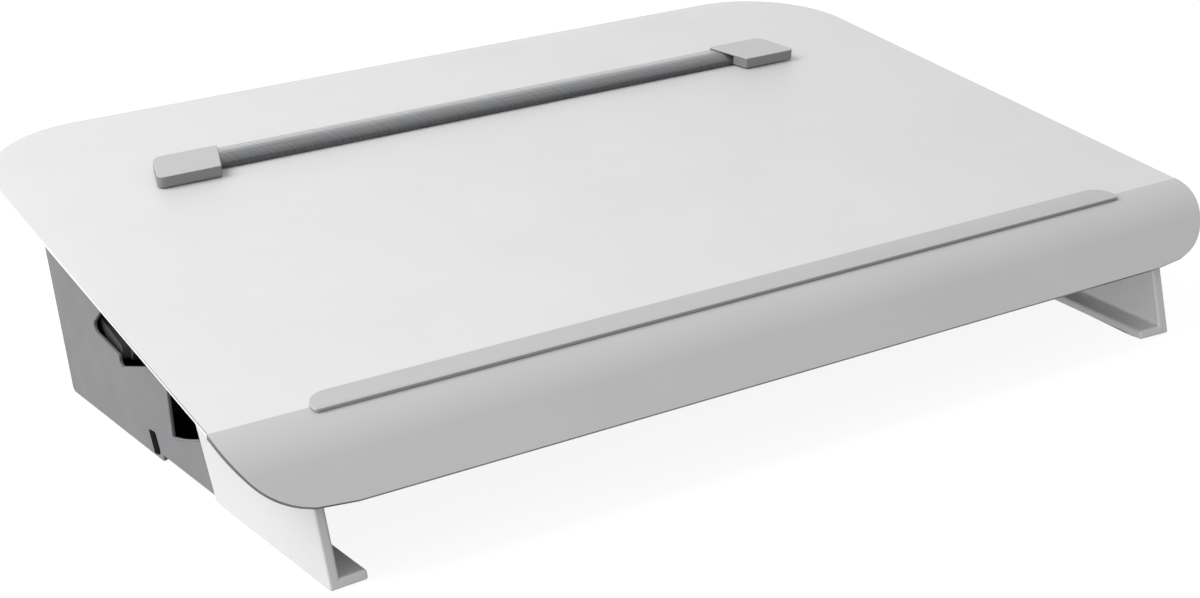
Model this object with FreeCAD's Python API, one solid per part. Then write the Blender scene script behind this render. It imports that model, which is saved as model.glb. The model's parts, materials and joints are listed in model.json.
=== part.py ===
"""Desk-top document holder: a sloped writing board over a shallow drawer.

A low base stands on the desk. White L-shaped feet carry its front, grey side panels
its rear, and a steel pan between them carries the drawer on two channel runners.
The deck is the writing board with everything under it. It is hinged to the feet just
under its front lip. On each side it carries a smooth quadrant struck about the hinge,
and the shoe of a sprung lever bears on the quadrant's rim and holds the slope. The
paddle of each lever is reached through the window of the side panel. A pin in a slot
of the quadrant ends the tilt. A magnetic line guide slides up and down the board.

Millimetres, +X right, +Y to the back, +Z up. While it is built, Y is measured from the
paper line, where the foot of a sheet rests on the board, and Z from the desk. On export
every piece is shifted so that the origin is the bottom centre of the bounding box.
Pieces of the left side are drawn and the right side is their mirror image.
"""
import FreeCAD, Part
import math
import os

V = FreeCAD.Vector

# ---------------------------------------------------------------- driving dimensions
# Deck: the board slopes up to the back. "Run" is measured along the slope from the
# paper line, "rise" at right angles to it from the board's top face.
SLOPE = 7.0                 # degrees, at the lowest position
PAPER_LINE_Z = 67.5         # height of the board's top face at the paper line
BOARD_OVERHANG = 31.6       # the board beyond the feet's front corners
BOARD_BACK_RUN = 325.2
BOARD_THICKNESS = 1.5
BOARD_CORNER_R = 60.0
SEAM_RUN = -12.0            # where the board ends and the front lip begins

LIP_BEND_R = 37.0           # outer radius of the lip's bend
LIP_BEND_ANGLE = 42.0       # degrees
LIP_FLAT = 19.3             # straight stretch below the bend
LIP_CORNER_WIDTH = 46.0     # how far in from the side the lip's corner starts to round
LIP_TONGUE_RUN = 20.0       # tongue that laps under the board
LIP_TONGUE_THICKNESS = 2.5

LEDGE_INSET = 42.9          # from the board's side
LEDGE_FRONT_RUN = -17.5
LEDGE_BACK_RUN = -4.0
LEDGE_HEIGHT = 1.5
LEDGE_BACK_R = 10.0
LEDGE_FRONT_R = 2.0

SHEET_OVERHANG = 6.0        # beyond the side rail
SHEET_FRONT_RUN = 14.0
SHEET_BACK_RUN = 314.0
SHEET_THICKNESS = 0.6
SHEET_CORNER_R = 34.0

RAIL_HEIGHT = 10.0
RAIL_WIDTH = 13.0
RAIL_OUTSET = 1.0           # beyond the side plate
RAIL_BACK_RUN = 300.0
CHANNEL_WALL = 1.6
FRONT_BEAM_FRONT_RUN = -6.0
FRONT_BEAM_DEPTH = 18.0
REAR_BEAM_DEPTH = 16.0

# Deck hinge, and the quadrant that is struck about it.
TILT_RANGE = 10.0           # degrees above the lowest position
HINGE_Y = -25.0
HINGE_Z = 45.0
HINGE_PIN_R = 2.5
HINGE_EYE_R = 4.6
HINGE_BOSS_R = 4.4
HINGE_PIN_SEAT = 3.0        # how far the pin is sunk in the foot's boss
EAR_THICKNESS = 6.0
EAR_GAP = 0.6               # side play between ear and boss
EAR_BACK_R = 4.0
EAR_FRONT_R = 3.0
RUNNING_FIT = 0.05          # radial clearance of a pin in its bore

QUADRANT_R = 176.0
QUADRANT_BAND = 17.0
QUADRANT_THICKNESS = 4.0
QUADRANT_TOP_ANGLE = 13.0   # degrees above the horizontal; the board's underside cuts it off
QUADRANT_MARGIN = 5.0       # metal left below the slot
TAB_LENGTH = 70.0
TAB_AHEAD = 50.0            # of the rim's radius
TAB_R = 3.0
TAB_SCREW_INSET = 6.0
STOP_PIN_R = 2.5
STOP_ANGLE = 2.0            # where the stop pin stands, in degrees above the horizontal
MOVING_GAP = 0.3            # between parts that pass each other

# Feet: L-shaped, splayed so that they stand wider apart towards the back.
SPLAY = 3.87                # degrees
FOOT_OUTSET = 5.3           # front bottom corner of the foot beyond the side plate
FOOT_FRONT_Y = -42.8
FOOT_FRONT_LEAN = 13.5      # degrees from the vertical
FOOT_THICKNESS = 5.0
FOOT_REAR_Y = 62.0
FOOT_REAR_LEAN = 21.4       # degrees from the vertical
FLANGE_WIDTH = 17.2
FLANGE_THICKNESS = 4.0
LIP_CLEARANCE = 4.5         # foot below the underside of the deck, which dips when it tilts
FOOT_TOP_R = 2.0
FOOT_BEND_R = 12.0          # where its top edge follows the bend of the lip
FOOT_REAR_R = 4.0
BOSS_LENGTH = 4.0           # of the hinge boss, inward from the foot
PAD_R = 5.0
PAD_PROUD = 0.8             # pads lift the base off the desk
PAD_SUNK = 1.2
PAD_CLEARANCE = 0.1
# Pads and pan screws along a flange: distance back from the foot's front corner, and
# distance forward from the panel's rear corner.
FIXINGS_FROM_FRONT = ((9.0, "pad"), (84.0, "screw"), (96.0, "pad"), (176.0, "screw"))
FIXINGS_FROM_REAR = ((26.0, "screw"), (12.0, "pad"))

# Side panels.
PANEL_THICKNESS = 1.8
PANEL_TOP_GAP = 1.2         # between the panel and the deck at rest
STRIP_BOTTOM_Z = 3.9        # the low front strip stands clear of the desk
STRIP_STEP_Y = 116.5        # and comes down to it here
STRIP_STEP_R = 1.0
PANEL_STRIP_Z = 26.8        # top of the low front strip where it meets the foot
PANEL_FRONT_Y = 102.6       # front edge of the tall part
PANEL_FRONT_Z = 17.6
STRIP_SAG = 1.1             # how far the strip's top line dips below a straight one
STRIP_SAG_R = 60.0
STRIP_END_R = 0.6
PANEL_REAR_Y = 225.1        # at the bottom
PANEL_REAR_LEAN = 8.6       # degrees from the vertical
PANEL_CORNER_R = 3.0
SWAGE_END_Y = 147.0         # the strip's edge line fades out here
SWAGE_END_Z = 12.4
SWAGE_DEPTH = 0.8
SLIT_WIDTH = 6.4
SLIT_BOTTOM = (123.2, 5.3)  # centres of the slit's round ends, (y, z)
SLIT_TOP = (125.4, 10.3)
SLIT_INSERT_SET_BACK = 0.3  # the black insert lies this far below the panel's face
# Window in the side panel, over the release lever: (y from the lever's pivot, z, corner radius).
WINDOW = ((32.4, 45.2, 3.0), (0.6, 40.6, 1.5), (1.2, 34.7, 2.5), (-33.0, 45.2, 6.0),
          (-43.0, 62.0, 8.0), (-5.0, 72.5, 8.0), (16.5, 57.6, 8.0))
BUMPER_R = 4.0
BUMPER_SHELF_Y = 206.0
BUMPER_SHELF_SIZE = 12.0
BUMPER_SHELF_THICKNESS = 3.0
BUMPER_HEIGHT = 4.0
BUMPER_GAP = 0.3

# Release levers. An outset is measured outward from the side plate's outer face.
LEVER_SET_BACK = 4.0        # pivot behind the quadrant's rim
LEVER_PIVOT_Z = 63.0
LEVER_HUB_R = 6.5
LEVER_PIN_R = 2.0
LEVER_OUTER_OUTSET = 12.5
LEVER_INNER_OUTSET = 6.6
LEVER_BOSS_R = 4.0
PADDLE_OUTER_OUTSET = 16.2
PADDLE_INNER_OUTSET = 1.6
PADDLE_SET_BACK = 1.5       # its front end behind the pivot
PADDLE_LENGTH = 33.5
PADDLE_SLOPE = 11.5         # degrees
PADDLE_SILL_Z = 35.7        # underside, below the pivot
PADDLE_THICKNESS = 8.0
PADDLE_R = 2.5
SHOE_LOW_ANGLE = -1.0       # degrees from the horizontal, about the deck hinge
SHOE_HIGH_ANGLE = 2.6
SHOE_DEPTH = 6.0
SHOE_OUTSET = 0.8
SPRING_WIRE_R = 0.6
SPRING_TURNS = 2

# Inner side plates: they carry the lever pins and the stop pins.
PLATE_RUNNER_GAP = 1.5      # between the plate's flange and the runner's
PLATE_THICKNESS = 2.0
PLATE_FLANGE = 9.0
PLATE_FRONT_Y = 72.0
PLATE_BACK_Y = 205.0
PLATE_DECK_GAP = 2.5
PLATE_CORNER_R = 6.0

# Base pan, rear wall and skid.
PAN_THICKNESS = 1.5
PAN_FRONT_Y = 28.0
PAN_BACK_Y = 221.0
PAN_SIDE_GAP = 1.5
PAN_FRONT_R = 6.0
PAN_BACK_R = 4.0
REAR_WALL_THICKNESS = 2.0
REAR_WALL_TOP_Z = 62.0
REAR_WALL_FLANGE = 10.0
REAR_WALL_END_GAP = 1.0
REAR_WALL_R = 6.0
SKID_DEPTH = 16.0
SKID_BACK_GAP = 8.0

# Drawer and its runners.
DRAWER_FRONT_Y = 18.0
DRAWER_FRONT_THICKNESS = 4.5
DRAWER_FRONT_OVERLAP = 8.0  # beyond the tray at each side
DRAWER_FRONT_BOTTOM_Z = 6.5
DRAWER_FRONT_TOP_Z = 31.5
DRAWER_FRONT_R = 4.0
PULL_HALF_WIDTH = 42.0
PULL_DEPTH = 9.0
PULL_R = 6.0
TRAY_HALF_WIDTH = 188.0
TRAY_BACK_Y = 206.0
TRAY_BOTTOM_Z = 8.6
TRAY_HEIGHT = 21.0
TRAY_WALL = 2.0
TRAY_R = 6.0
GLIDE_WIDTH = 6.0
GLIDE_HEIGHT = 7.0
GLIDE_BOTTOM_Z = 14.0
GLIDE_LENGTH = 145.0
GLIDE_CLEARANCE = 0.5
RUNNER_GAP = 1.6            # between the tray's wall and the runner
RUNNER_WEB = 2.0
RUNNER_FLANGE_X = 9.0
RUNNER_FRONT_Y = 29.0
RUNNER_BACK_Y = 214.0
PEN_GROOVES = 3
PEN_GROOVE_R = 8.0
PEN_TRAY_WALL = 3.0
PEN_TRAY_HALF_WIDTH = 92.0
PEN_TRAY_INSET = 4.0        # from the tray's side wall
DIVIDER_THICKNESS = 1.6
DIVIDER_HEIGHT = 14.0
FIT = 0.3                   # loose fit between parts of one assembly

# Line guide: a ruler-like bar, flat at its back and falling towards its front, between
# two caps that reach further forward. Seen square to the board the caps' ends slant.
GUIDE_RUN = 232.0           # middle of the caps
CAP_WIDTH = 26.0            # along the slope
CAP_FRONT_OUTER_INSET = 66.4    # insets are measured from the board's side
CAP_BACK_OUTER_INSET = 73.4
CAP_FRONT_INNER_INSET = 99.4
CAP_BACK_INNER_INSET = 107.4
CAP_HEIGHT = 5.6
CAP_FRONT_R = 3.0
CAP_BACK_R = 6.0
CAP_INNER_R = 1.0
CAP_EDGE_R = 0.6
BAR_INSET = 82.9
BAR_FRONT = -3.8            # the bar's edges and bend, from the middle of the caps
BAR_BEND = 3.5
BAR_BACK = 12.0
BAR_FRONT_HEIGHT = 2.5
BAR_HEIGHT = 4.5
BAR_FRONT_R = 1.0
BAR_BEND_R = 9.0
BAR_BACK_R = 0.8
GUIDE_GAP = 0.3             # the pads run this far above the board
GUIDE_PAD_THICKNESS = 0.6
GUIDE_PAD_R = 7.5
MAGNET_INSET = 92.9
MAGNET_R = 6.0
MAGNET_THICKNESS = 2.0
SOCKET_FIT = 0.1

# Screws.
SCREW_R = 1.5
SCREW_HEAD_R = 2.8
SCREW_HEAD_HEIGHT = 1.6
SCREW_BITE = 2.6
SCREW_CLEARANCE = 0.05
TINY = 1e-6

# ---------------------------------------------------------------- derived dimensions
COS_SLOPE = math.cos(math.radians(SLOPE))
SIN_SLOPE = math.sin(math.radians(SLOPE))
PLATE_OUTER_X = TRAY_HALF_WIDTH + GLIDE_WIDTH + GLIDE_CLEARANCE + RUNNER_WEB + RUNNER_FLANGE_X \
    + PLATE_RUNNER_GAP + PLATE_FLANGE + PLATE_THICKNESS
RAIL_OUTER_X = PLATE_OUTER_X + RAIL_OUTSET
FOOT_FRONT_X = PLATE_OUTER_X + FOOT_OUTSET  # outer face at the foot's front bottom corner
LEVER_OUTER_X = PLATE_OUTER_X + LEVER_OUTER_OUTSET
LEVER_INNER_X = PLATE_OUTER_X + LEVER_INNER_OUTSET
PADDLE_OUTER_X = PLATE_OUTER_X + PADDLE_OUTER_OUTSET
PADDLE_INNER_X = PLATE_OUTER_X + PADDLE_INNER_OUTSET
SHOE_INNER_X = PLATE_OUTER_X + SHOE_OUTSET
BOARD_HALF_WIDTH = FOOT_FRONT_X + BOARD_OVERHANG
LEDGE_HALF_WIDTH = BOARD_HALF_WIDTH - LEDGE_INSET
SHEET_HALF_WIDTH = RAIL_OUTER_X + SHEET_OVERHANG
SKID_HALF_WIDTH = TRAY_HALF_WIDTH
DRAWER_FRONT_HALF_WIDTH = TRAY_HALF_WIDTH + DRAWER_FRONT_OVERLAP
PEN_TRAY_CENTRE_X = -TRAY_HALF_WIDTH + TRAY_WALL + PEN_TRAY_INSET + PEN_TRAY_HALF_WIDTH
CAP_FRONT_OUTER_X = BOARD_HALF_WIDTH - CAP_FRONT_OUTER_INSET
CAP_BACK_OUTER_X = BOARD_HALF_WIDTH - CAP_BACK_OUTER_INSET
CAP_FRONT_INNER_X = BOARD_HALF_WIDTH - CAP_FRONT_INNER_INSET
CAP_BACK_INNER_X = BOARD_HALF_WIDTH - CAP_BACK_INNER_INSET
BAR_HALF_LENGTH = BOARD_HALF_WIDTH - BAR_INSET
MAGNET_X = BOARD_HALF_WIDTH - MAGNET_INSET
TAB_FRONT_RUN = QUADRANT_R - TAB_AHEAD
TAB_BACK_RUN = TAB_FRONT_RUN + TAB_LENGTH
LEVER_PIVOT_Y = HINGE_Y + QUADRANT_R + LEVER_SET_BACK
PADDLE_FRONT_Y = LEVER_PIVOT_Y + PADDLE_SET_BACK
PADDLE_END_Y = PADDLE_FRONT_Y + PADDLE_LENGTH
LIP_CENTRE_RISE = -LIP_BEND_R               # the bend is struck about this point
PAN_BOTTOM_Z = PAD_PROUD + FLANGE_THICKNESS
PAN_TOP_Z = PAN_BOTTOM_Z + PAN_THICKNESS
RAIL_TOP_RISE = -BOARD_THICKNESS - SHEET_THICKNESS
RAIL_INNER_X = RAIL_OUTER_X - RAIL_WIDTH
FRONT_BEAM_TOP_RISE = -BOARD_THICKNESS - LIP_TONGUE_THICKNESS
FRONT_BEAM_BACK_RUN = FRONT_BEAM_FRONT_RUN + FRONT_BEAM_DEPTH
SLOT_R = QUADRANT_R - QUADRANT_BAND / 2
TRAY_FRONT_Y = DRAWER_FRONT_Y + DRAWER_FRONT_THICKNESS
TRAY_TOP_Z = TRAY_BOTTOM_Z + TRAY_HEIGHT
TRAY_FLOOR_Z = TRAY_BOTTOM_Z + TRAY_WALL
BOSS_END_X = FOOT_FRONT_X - FOOT_THICKNESS - BOSS_LENGTH
EAR_OUTER_X = BOSS_END_X - EAR_GAP
EAR_INNER_X = EAR_OUTER_X - EAR_THICKNESS
GUIDE_BOTTOM_RISE = GUIDE_GAP + GUIDE_PAD_THICKNESS
MAGNET_RUN = (BAR_FRONT + BAR_BACK) / 2     # from the middle of the caps
FOOT_REAR_SLANT = math.tan(math.radians(FOOT_REAR_LEAN))


def world_y(run, rise):
    """Y of a point of the deck, from the paper line."""
    return run * COS_SLOPE - rise * SIN_SLOPE


def world_z(run, rise):
    """Height of a point of the deck above the desk."""
    return PAPER_LINE_Z + run * SIN_SLOPE + rise * COS_SLOPE


def deck_run(y, z):
    """Run, along the slope, of a point given in Y and Z."""
    return y * COS_SLOPE + (z - PAPER_LINE_Z) * SIN_SLOPE


def deck_rise(y, z):
    """Rise, square to the board, of a point given in Y and Z."""
    return -y * SIN_SLOPE + (z - PAPER_LINE_Z) * COS_SLOPE


LIP_END_RUN = SEAM_RUN - LIP_BEND_R * math.sin(math.radians(LIP_BEND_ANGLE)) \
    - LIP_FLAT * math.cos(math.radians(LIP_BEND_ANGLE))
LIP_END_RISE = -LIP_BEND_R * (1 - math.cos(math.radians(LIP_BEND_ANGLE))) \
    - LIP_FLAT * math.sin(math.radians(LIP_BEND_ANGLE))
ORIGIN_SHIFT_Y = -(world_y(LIP_END_RUN, LIP_END_RISE)
                   + world_y(BOARD_BACK_RUN, -BOARD_THICKNESS)) / 2
HINGE_RUN = deck_run(HINGE_Y, HINGE_Z)
HINGE_RISE = deck_rise(HINGE_Y, HINGE_Z)


def deck_underside_z(y):
    """Height of the board's underside at a given Y."""
    return PAPER_LINE_Z + (y * SIN_SLOPE - BOARD_THICKNESS) / COS_SLOPE


def outer_x(y):
    """Distance from the centre plane to the outer face of the splayed sides."""
    return FOOT_FRONT_X + (y - FOOT_FRONT_Y) * math.tan(math.radians(SPLAY))


# ---------------------------------------------------------------- drawing helpers
def on_side(a, b):
    """A point of an outline drawn from the side: a is Y (or run), b is Z (or rise)."""
    return V(0, a, b)


def in_plan(a, b):
    """A point of an outline drawn from above: a is X, b is Y (or run)."""
    return V(a, b, 0)


def from_front(a, b):
    """A point of an outline drawn from the front: a is X, b is Z."""
    return V(a, 0, b)


def rounded_face(corners, view):
    """A flat face with rounded corners; each corner is (a, b, radius)."""
    count = len(corners)
    turns = []
    for i, (a, b, radius) in enumerate(corners):
        here = V(a, b, 0)
        before = V(corners[i - 1][0], corners[i - 1][1], 0) - here
        after = V(corners[(i + 1) % count][0], corners[(i + 1) % count][1], 0) - here
        before.normalize()
        after.normalize()
        if not radius:
            turns.append((here, None, here))
            continue
        half = before.getAngle(after) / 2
        reach = radius / math.tan(half)
        bisector = before + after
        bisector.normalize()
        middle = here + bisector * (radius / math.sin(half) - radius)
        turns.append((here + before * reach, middle, here + after * reach))
    edges = []
    for i, (start, middle, end) in enumerate(turns):
        if middle is not None:
            edges.append(Part.Arc(view(start.x, start.y), view(middle.x, middle.y),
                                  view(end.x, end.y)).toShape())
        following = turns[(i + 1) % count][0]
        if (following - end).Length > TINY:
            edges.append(Part.makeLine(view(end.x, end.y), view(following.x, following.y)))
    return Part.Face(Part.Wire(edges))


def side_slab(corners, x0, x1):
    """A plate parallel to the centre plane, from x0 to x1, with the given side outline."""
    face = rounded_face(corners, on_side)
    face.translate(V(x0, 0, 0))
    return face.extrude(V(x1 - x0, 0, 0))


def plan_slab(corners, z0, z1):
    """A plate with the given outline seen from above, from z0 up to z1."""
    face = rounded_face(corners, in_plan)
    face.translate(V(0, 0, z0))
    return face.extrude(V(0, 0, z1 - z0))


def front_slab(corners, y0, y1):
    """A bar with the given outline seen from the front, from y0 to y1."""
    face = rounded_face(corners, from_front)
    face.translate(V(0, y0, 0))
    return face.extrude(V(0, y1 - y0, 0))


def rectangle(a0, a1, b0, b1, radius=0.0):
    """Corners of a rectangle with one radius all round."""
    return ((a0, b0, radius), (a1, b0, radius), (a1, b1, radius), (a0, b1, radius))


def block(x0, x1, y0, y1, z0, z1):
    """A plain box between two opposite corners."""
    return Part.makeBox(x1 - x0, y1 - y0, z1 - z0, V(x0, y0, z0))


def rod_x(radius, x0, x1, y, z):
    """A round bar along X."""
    return Part.makeCylinder(radius, x1 - x0, V(x0, y, z), V(1, 0, 0))


def rod_z(radius, x, y, z0, z1):
    """A round bar along Z."""
    return Part.makeCylinder(radius, z1 - z0, V(x, y, z0), V(0, 0, 1))


def on_deck(shape):
    """Puts a shape drawn in X, run and rise onto the sloping deck."""
    placed = shape.copy()
    placed.rotate(V(0, 0, 0), V(1, 0, 0), SLOPE)
    placed.translate(V(0, 0, PAPER_LINE_Z))
    return placed


def splayed(shape):
    """Turns a left-hand side piece about its front corner so that the sides splay."""
    turned = shape.copy()
    turned.rotate(V(-FOOT_FRONT_X, FOOT_FRONT_Y, 0), V(0, 0, 1), SPLAY)
    return turned


def mirrored(shape):
    """The right-hand twin of a left-hand piece."""
    return shape.mirror(V(0, 0, 0), V(1, 0, 0))


def both_sides(shape):
    """A left-hand solid and its right-hand twin, as one group."""
    return Part.makeCompound([shape, mirrored(shape)])


def screw(head, along):
    """A pan-head screw: its head stands on the point, its shank runs along the direction."""
    shank = Part.makeCylinder(SCREW_R, PAN_THICKNESS + SCREW_BITE, head, along)
    cap = Part.makeCylinder(SCREW_HEAD_R, SCREW_HEAD_HEIGHT, head, along * -1)
    return shank.fuse(cap).removeSplitter()


def screw_hole(head, along, depth):
    """The hole for such a screw."""
    return Part.makeCylinder(SCREW_R + SCREW_CLEARANCE, depth, head, along)


# ---------------------------------------------------------------- deck
def writing_board():
    """White sheet with two large rear corners."""
    outline = ((-BOARD_HALF_WIDTH, SEAM_RUN, 0), (BOARD_HALF_WIDTH, SEAM_RUN, 0),
               (BOARD_HALF_WIDTH, BOARD_BACK_RUN, BOARD_CORNER_R),
               (-BOARD_HALF_WIDTH, BOARD_BACK_RUN, BOARD_CORNER_R))
    return on_deck(plan_slab(outline, -BOARD_THICKNESS, 0))


def lip_section():
    """Side section of the lip: an arc tangent to the board, then a straight stretch."""
    bend = math.radians(LIP_BEND_ANGLE)

    def on_bend(radius, angle):
        return on_side(SEAM_RUN - radius * math.sin(angle), LIP_CENTRE_RISE + radius * math.cos(angle))

    inner_r = LIP_BEND_R - BOARD_THICKNESS
    outer = [on_bend(LIP_BEND_R, angle) for angle in (0, bend / 2, bend)]
    inner = [on_bend(inner_r, angle) for angle in (bend, bend / 2, 0)]
    down = on_side(-math.cos(bend), -math.sin(bend)) * LIP_FLAT
    edges = [Part.Arc(*outer).toShape(),
             Part.makeLine(outer[-1], outer[-1] + down),
             Part.makeLine(outer[-1] + down, inner[0] + down),
             Part.makeLine(inner[0] + down, inner[0]),
             Part.Arc(*inner).toShape(),
             Part.makeLine(inner[-1], outer[0])]
    return Part.Face(Part.Wire(edges))


def lip_corner_cutter():
    """What the left front corner loses: outside a quarter ellipse seen square to the board."""
    depth = SEAM_RUN - LIP_END_RUN
    centre = V(-BOARD_HALF_WIDTH + LIP_CORNER_WIDTH, SEAM_RUN, 0)
    side = centre + V(-LIP_CORNER_WIDTH, 0, 0)
    front = centre + V(0, -depth, 0)
    corner = V(side.x, front.y, 0)
    ellipse = Part.Ellipse(side, front, centre) if LIP_CORNER_WIDTH > depth else \
        Part.Ellipse(front, side, centre)
    ends = sorted((ellipse.parameter(side), ellipse.parameter(front)))
    if ends[1] - ends[0] > math.pi:
        ends = [ends[1], ends[0] + 2 * math.pi]
    edges = [Part.Edge(ellipse, ends[0], ends[1]), Part.makeLine(front, corner),
             Part.makeLine(corner, side)]
    face = Part.Face(Part.Wire(Part.__sortEdges__(edges)))
    face.translate(V(0, 0, LIP_END_RISE - LIP_BEND_R))
    return face.extrude(V(0, 0, 2 * LIP_BEND_R - LIP_END_RISE))


def front_lip():
    """Grey lip that bends down from the board, with a tongue lapped under the board."""
    section = lip_section()
    section.translate(V(-BOARD_HALF_WIDTH, 0, 0))
    lip = section.extrude(V(2 * BOARD_HALF_WIDTH, 0, 0))
    cutter = lip_corner_cutter()
    lip = lip.cut(cutter).cut(mirrored(cutter))
    tongue = block(-EAR_OUTER_X, EAR_OUTER_X, SEAM_RUN - LIP_TONGUE_THICKNESS, SEAM_RUN + LIP_TONGUE_RUN,
                   -BOARD_THICKNESS - LIP_TONGUE_THICKNESS, -BOARD_THICKNESS)
    return on_deck(lip.fuse(tongue).removeSplitter())


def document_ledge():
    """Low strip that the foot of a sheet rests against, with round back corners."""
    outline = ((-LEDGE_HALF_WIDTH, LEDGE_FRONT_RUN, LEDGE_FRONT_R),
               (LEDGE_HALF_WIDTH, LEDGE_FRONT_RUN, LEDGE_FRONT_R),
               (LEDGE_HALF_WIDTH, LEDGE_BACK_RUN, LEDGE_BACK_R),
               (-LEDGE_HALF_WIDTH, LEDGE_BACK_RUN, LEDGE_BACK_R))
    strip = on_deck(plan_slab(outline, -LEDGE_HEIGHT, LEDGE_HEIGHT))
    return strip.cut(front_lip()).cut(below_board_top())


def below_board_top():
    """The space under the board's top face, for what is cut flush with it."""
    half = 2 * BOARD_HALF_WIDTH
    flat = block(-half, half, SEAM_RUN, BOARD_BACK_RUN, -PAPER_LINE_Z, 0)
    bend = rod_x(LIP_BEND_R - BOARD_THICKNESS / 2, -half, half, SEAM_RUN, LIP_CENTRE_RISE)
    return on_deck(flat.fuse(bend))


def steel_sheet():
    """Thin sheet under the board that the guide's magnets hold on to."""
    outline = ((-SHEET_HALF_WIDTH, SHEET_FRONT_RUN, 0), (SHEET_HALF_WIDTH, SHEET_FRONT_RUN, 0),
               (SHEET_HALF_WIDTH, SHEET_BACK_RUN, SHEET_CORNER_R),
               (-SHEET_HALF_WIDTH, SHEET_BACK_RUN, SHEET_CORNER_R))
    return on_deck(plan_slab(outline, RAIL_TOP_RISE, -BOARD_THICKNESS))


def channel(x0, x1, run0, run1, top, along_x):
    """Steel channel, open downward, that runs along X or along the slope."""
    outer = block(x0, x1, run0, run1, top - RAIL_HEIGHT, top)
    if along_x:
        run0, run1 = run0 + CHANNEL_WALL, run1 - CHANNEL_WALL
    else:
        x0, x1 = x0 + CHANNEL_WALL, x1 - CHANNEL_WALL
    hollow = block(x0, x1, run0, run1, top - RAIL_HEIGHT, top - CHANNEL_WALL)
    return on_deck(outer.cut(hollow))


def front_beam():
    """Cross channel under the lip's tongue that carries the hinge ears."""
    return channel(-EAR_OUTER_X, EAR_OUTER_X, FRONT_BEAM_FRONT_RUN, FRONT_BEAM_BACK_RUN,
                   FRONT_BEAM_TOP_RISE, along_x=True)


def rear_beam():
    """Cross channel between the side rails at the back."""
    return channel(-RAIL_INNER_X, RAIL_INNER_X, RAIL_BACK_RUN - REAR_BEAM_DEPTH, RAIL_BACK_RUN,
                   RAIL_TOP_RISE, along_x=True)


def side_rail():
    """Left channel under the steel sheet; the quadrant is screwed to its outer wall."""
    front = max(FRONT_BEAM_BACK_RUN, SHEET_FRONT_RUN)
    rail = channel(-RAIL_OUTER_X, -RAIL_INNER_X, front, RAIL_BACK_RUN, RAIL_TOP_RISE, along_x=False)
    for head in quadrant_screw_heads():
        rail = rail.cut(screw_hole(head, V(1, 0, 0), QUADRANT_THICKNESS + CHANNEL_WALL + FIT))
    return rail


def hinge_ear():
    """Left ear under the front beam, with the bore that turns on the hinge pin."""
    beam_bottom = FRONT_BEAM_TOP_RISE - RAIL_HEIGHT
    back = FRONT_BEAM_BACK_RUN
    lean = math.radians(LIP_BEND_ANGLE)
    outline = ((HINGE_RUN, HINGE_RISE - HINGE_EYE_R, 0),
               (back, beam_bottom - HINGE_EYE_R, EAR_BACK_R),
               (back, beam_bottom, 0),
               (FRONT_BEAM_FRONT_RUN - RAIL_HEIGHT, beam_bottom, EAR_FRONT_R),
               (HINGE_RUN + HINGE_EYE_R * math.sin(lean), HINGE_RISE + HINGE_EYE_R * math.cos(lean), 0))
    web = side_slab(outline, -EAR_OUTER_X, -EAR_INNER_X)
    eye = rod_x(HINGE_EYE_R, -EAR_OUTER_X, -EAR_INNER_X, HINGE_RUN, HINGE_RISE)
    bore = rod_x(HINGE_PIN_R + RUNNING_FIT, -EAR_OUTER_X, -EAR_INNER_X, HINGE_RUN, HINGE_RISE)
    return on_deck(web.fuse(eye).removeSplitter().cut(bore))


def about_hinge(radius, degrees):
    """A point (y, z) at a radius and an angle above the horizontal from the deck hinge."""
    angle = math.radians(degrees)
    return HINGE_Y + radius * math.cos(angle), HINGE_Z + radius * math.sin(angle)


def ring_sector(inner_r, outer_r, low, high, x0, x1):
    """A plate between two radii and two angles about the deck hinge."""
    middle = (low + high) / 2
    corner = [on_side(*about_hinge(r, a)) for r, a in
              ((outer_r, high), (outer_r, low), (inner_r, low), (inner_r, high))]
    edges = [Part.Arc(corner[0], on_side(*about_hinge(outer_r, middle)), corner[1]).toShape(),
             Part.makeLine(corner[1], corner[2]),
             Part.Arc(corner[2], on_side(*about_hinge(inner_r, middle)), corner[3]).toShape(),
             Part.makeLine(corner[3], corner[0])]
    face = Part.Face(Part.Wire(edges))
    face.translate(V(x0, 0, 0))
    return face.extrude(V(x1 - x0, 0, 0))


def degrees_on(length, radius):
    """The angle that a length takes up on an arc."""
    return math.degrees(length / radius)


def stop_slot(x0, x1):
    """Slot that the stop pin runs along, from the lowest to the highest position."""
    half = STOP_PIN_R + MOVING_GAP
    low = STOP_ANGLE - TILT_RANGE
    band = ring_sector(SLOT_R - half, SLOT_R + half, low, STOP_ANGLE, x0, x1)
    return band.fuse([rod_x(half, x0, x1, *about_hinge(SLOT_R, a)) for a in (low, STOP_ANGLE)])


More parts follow.
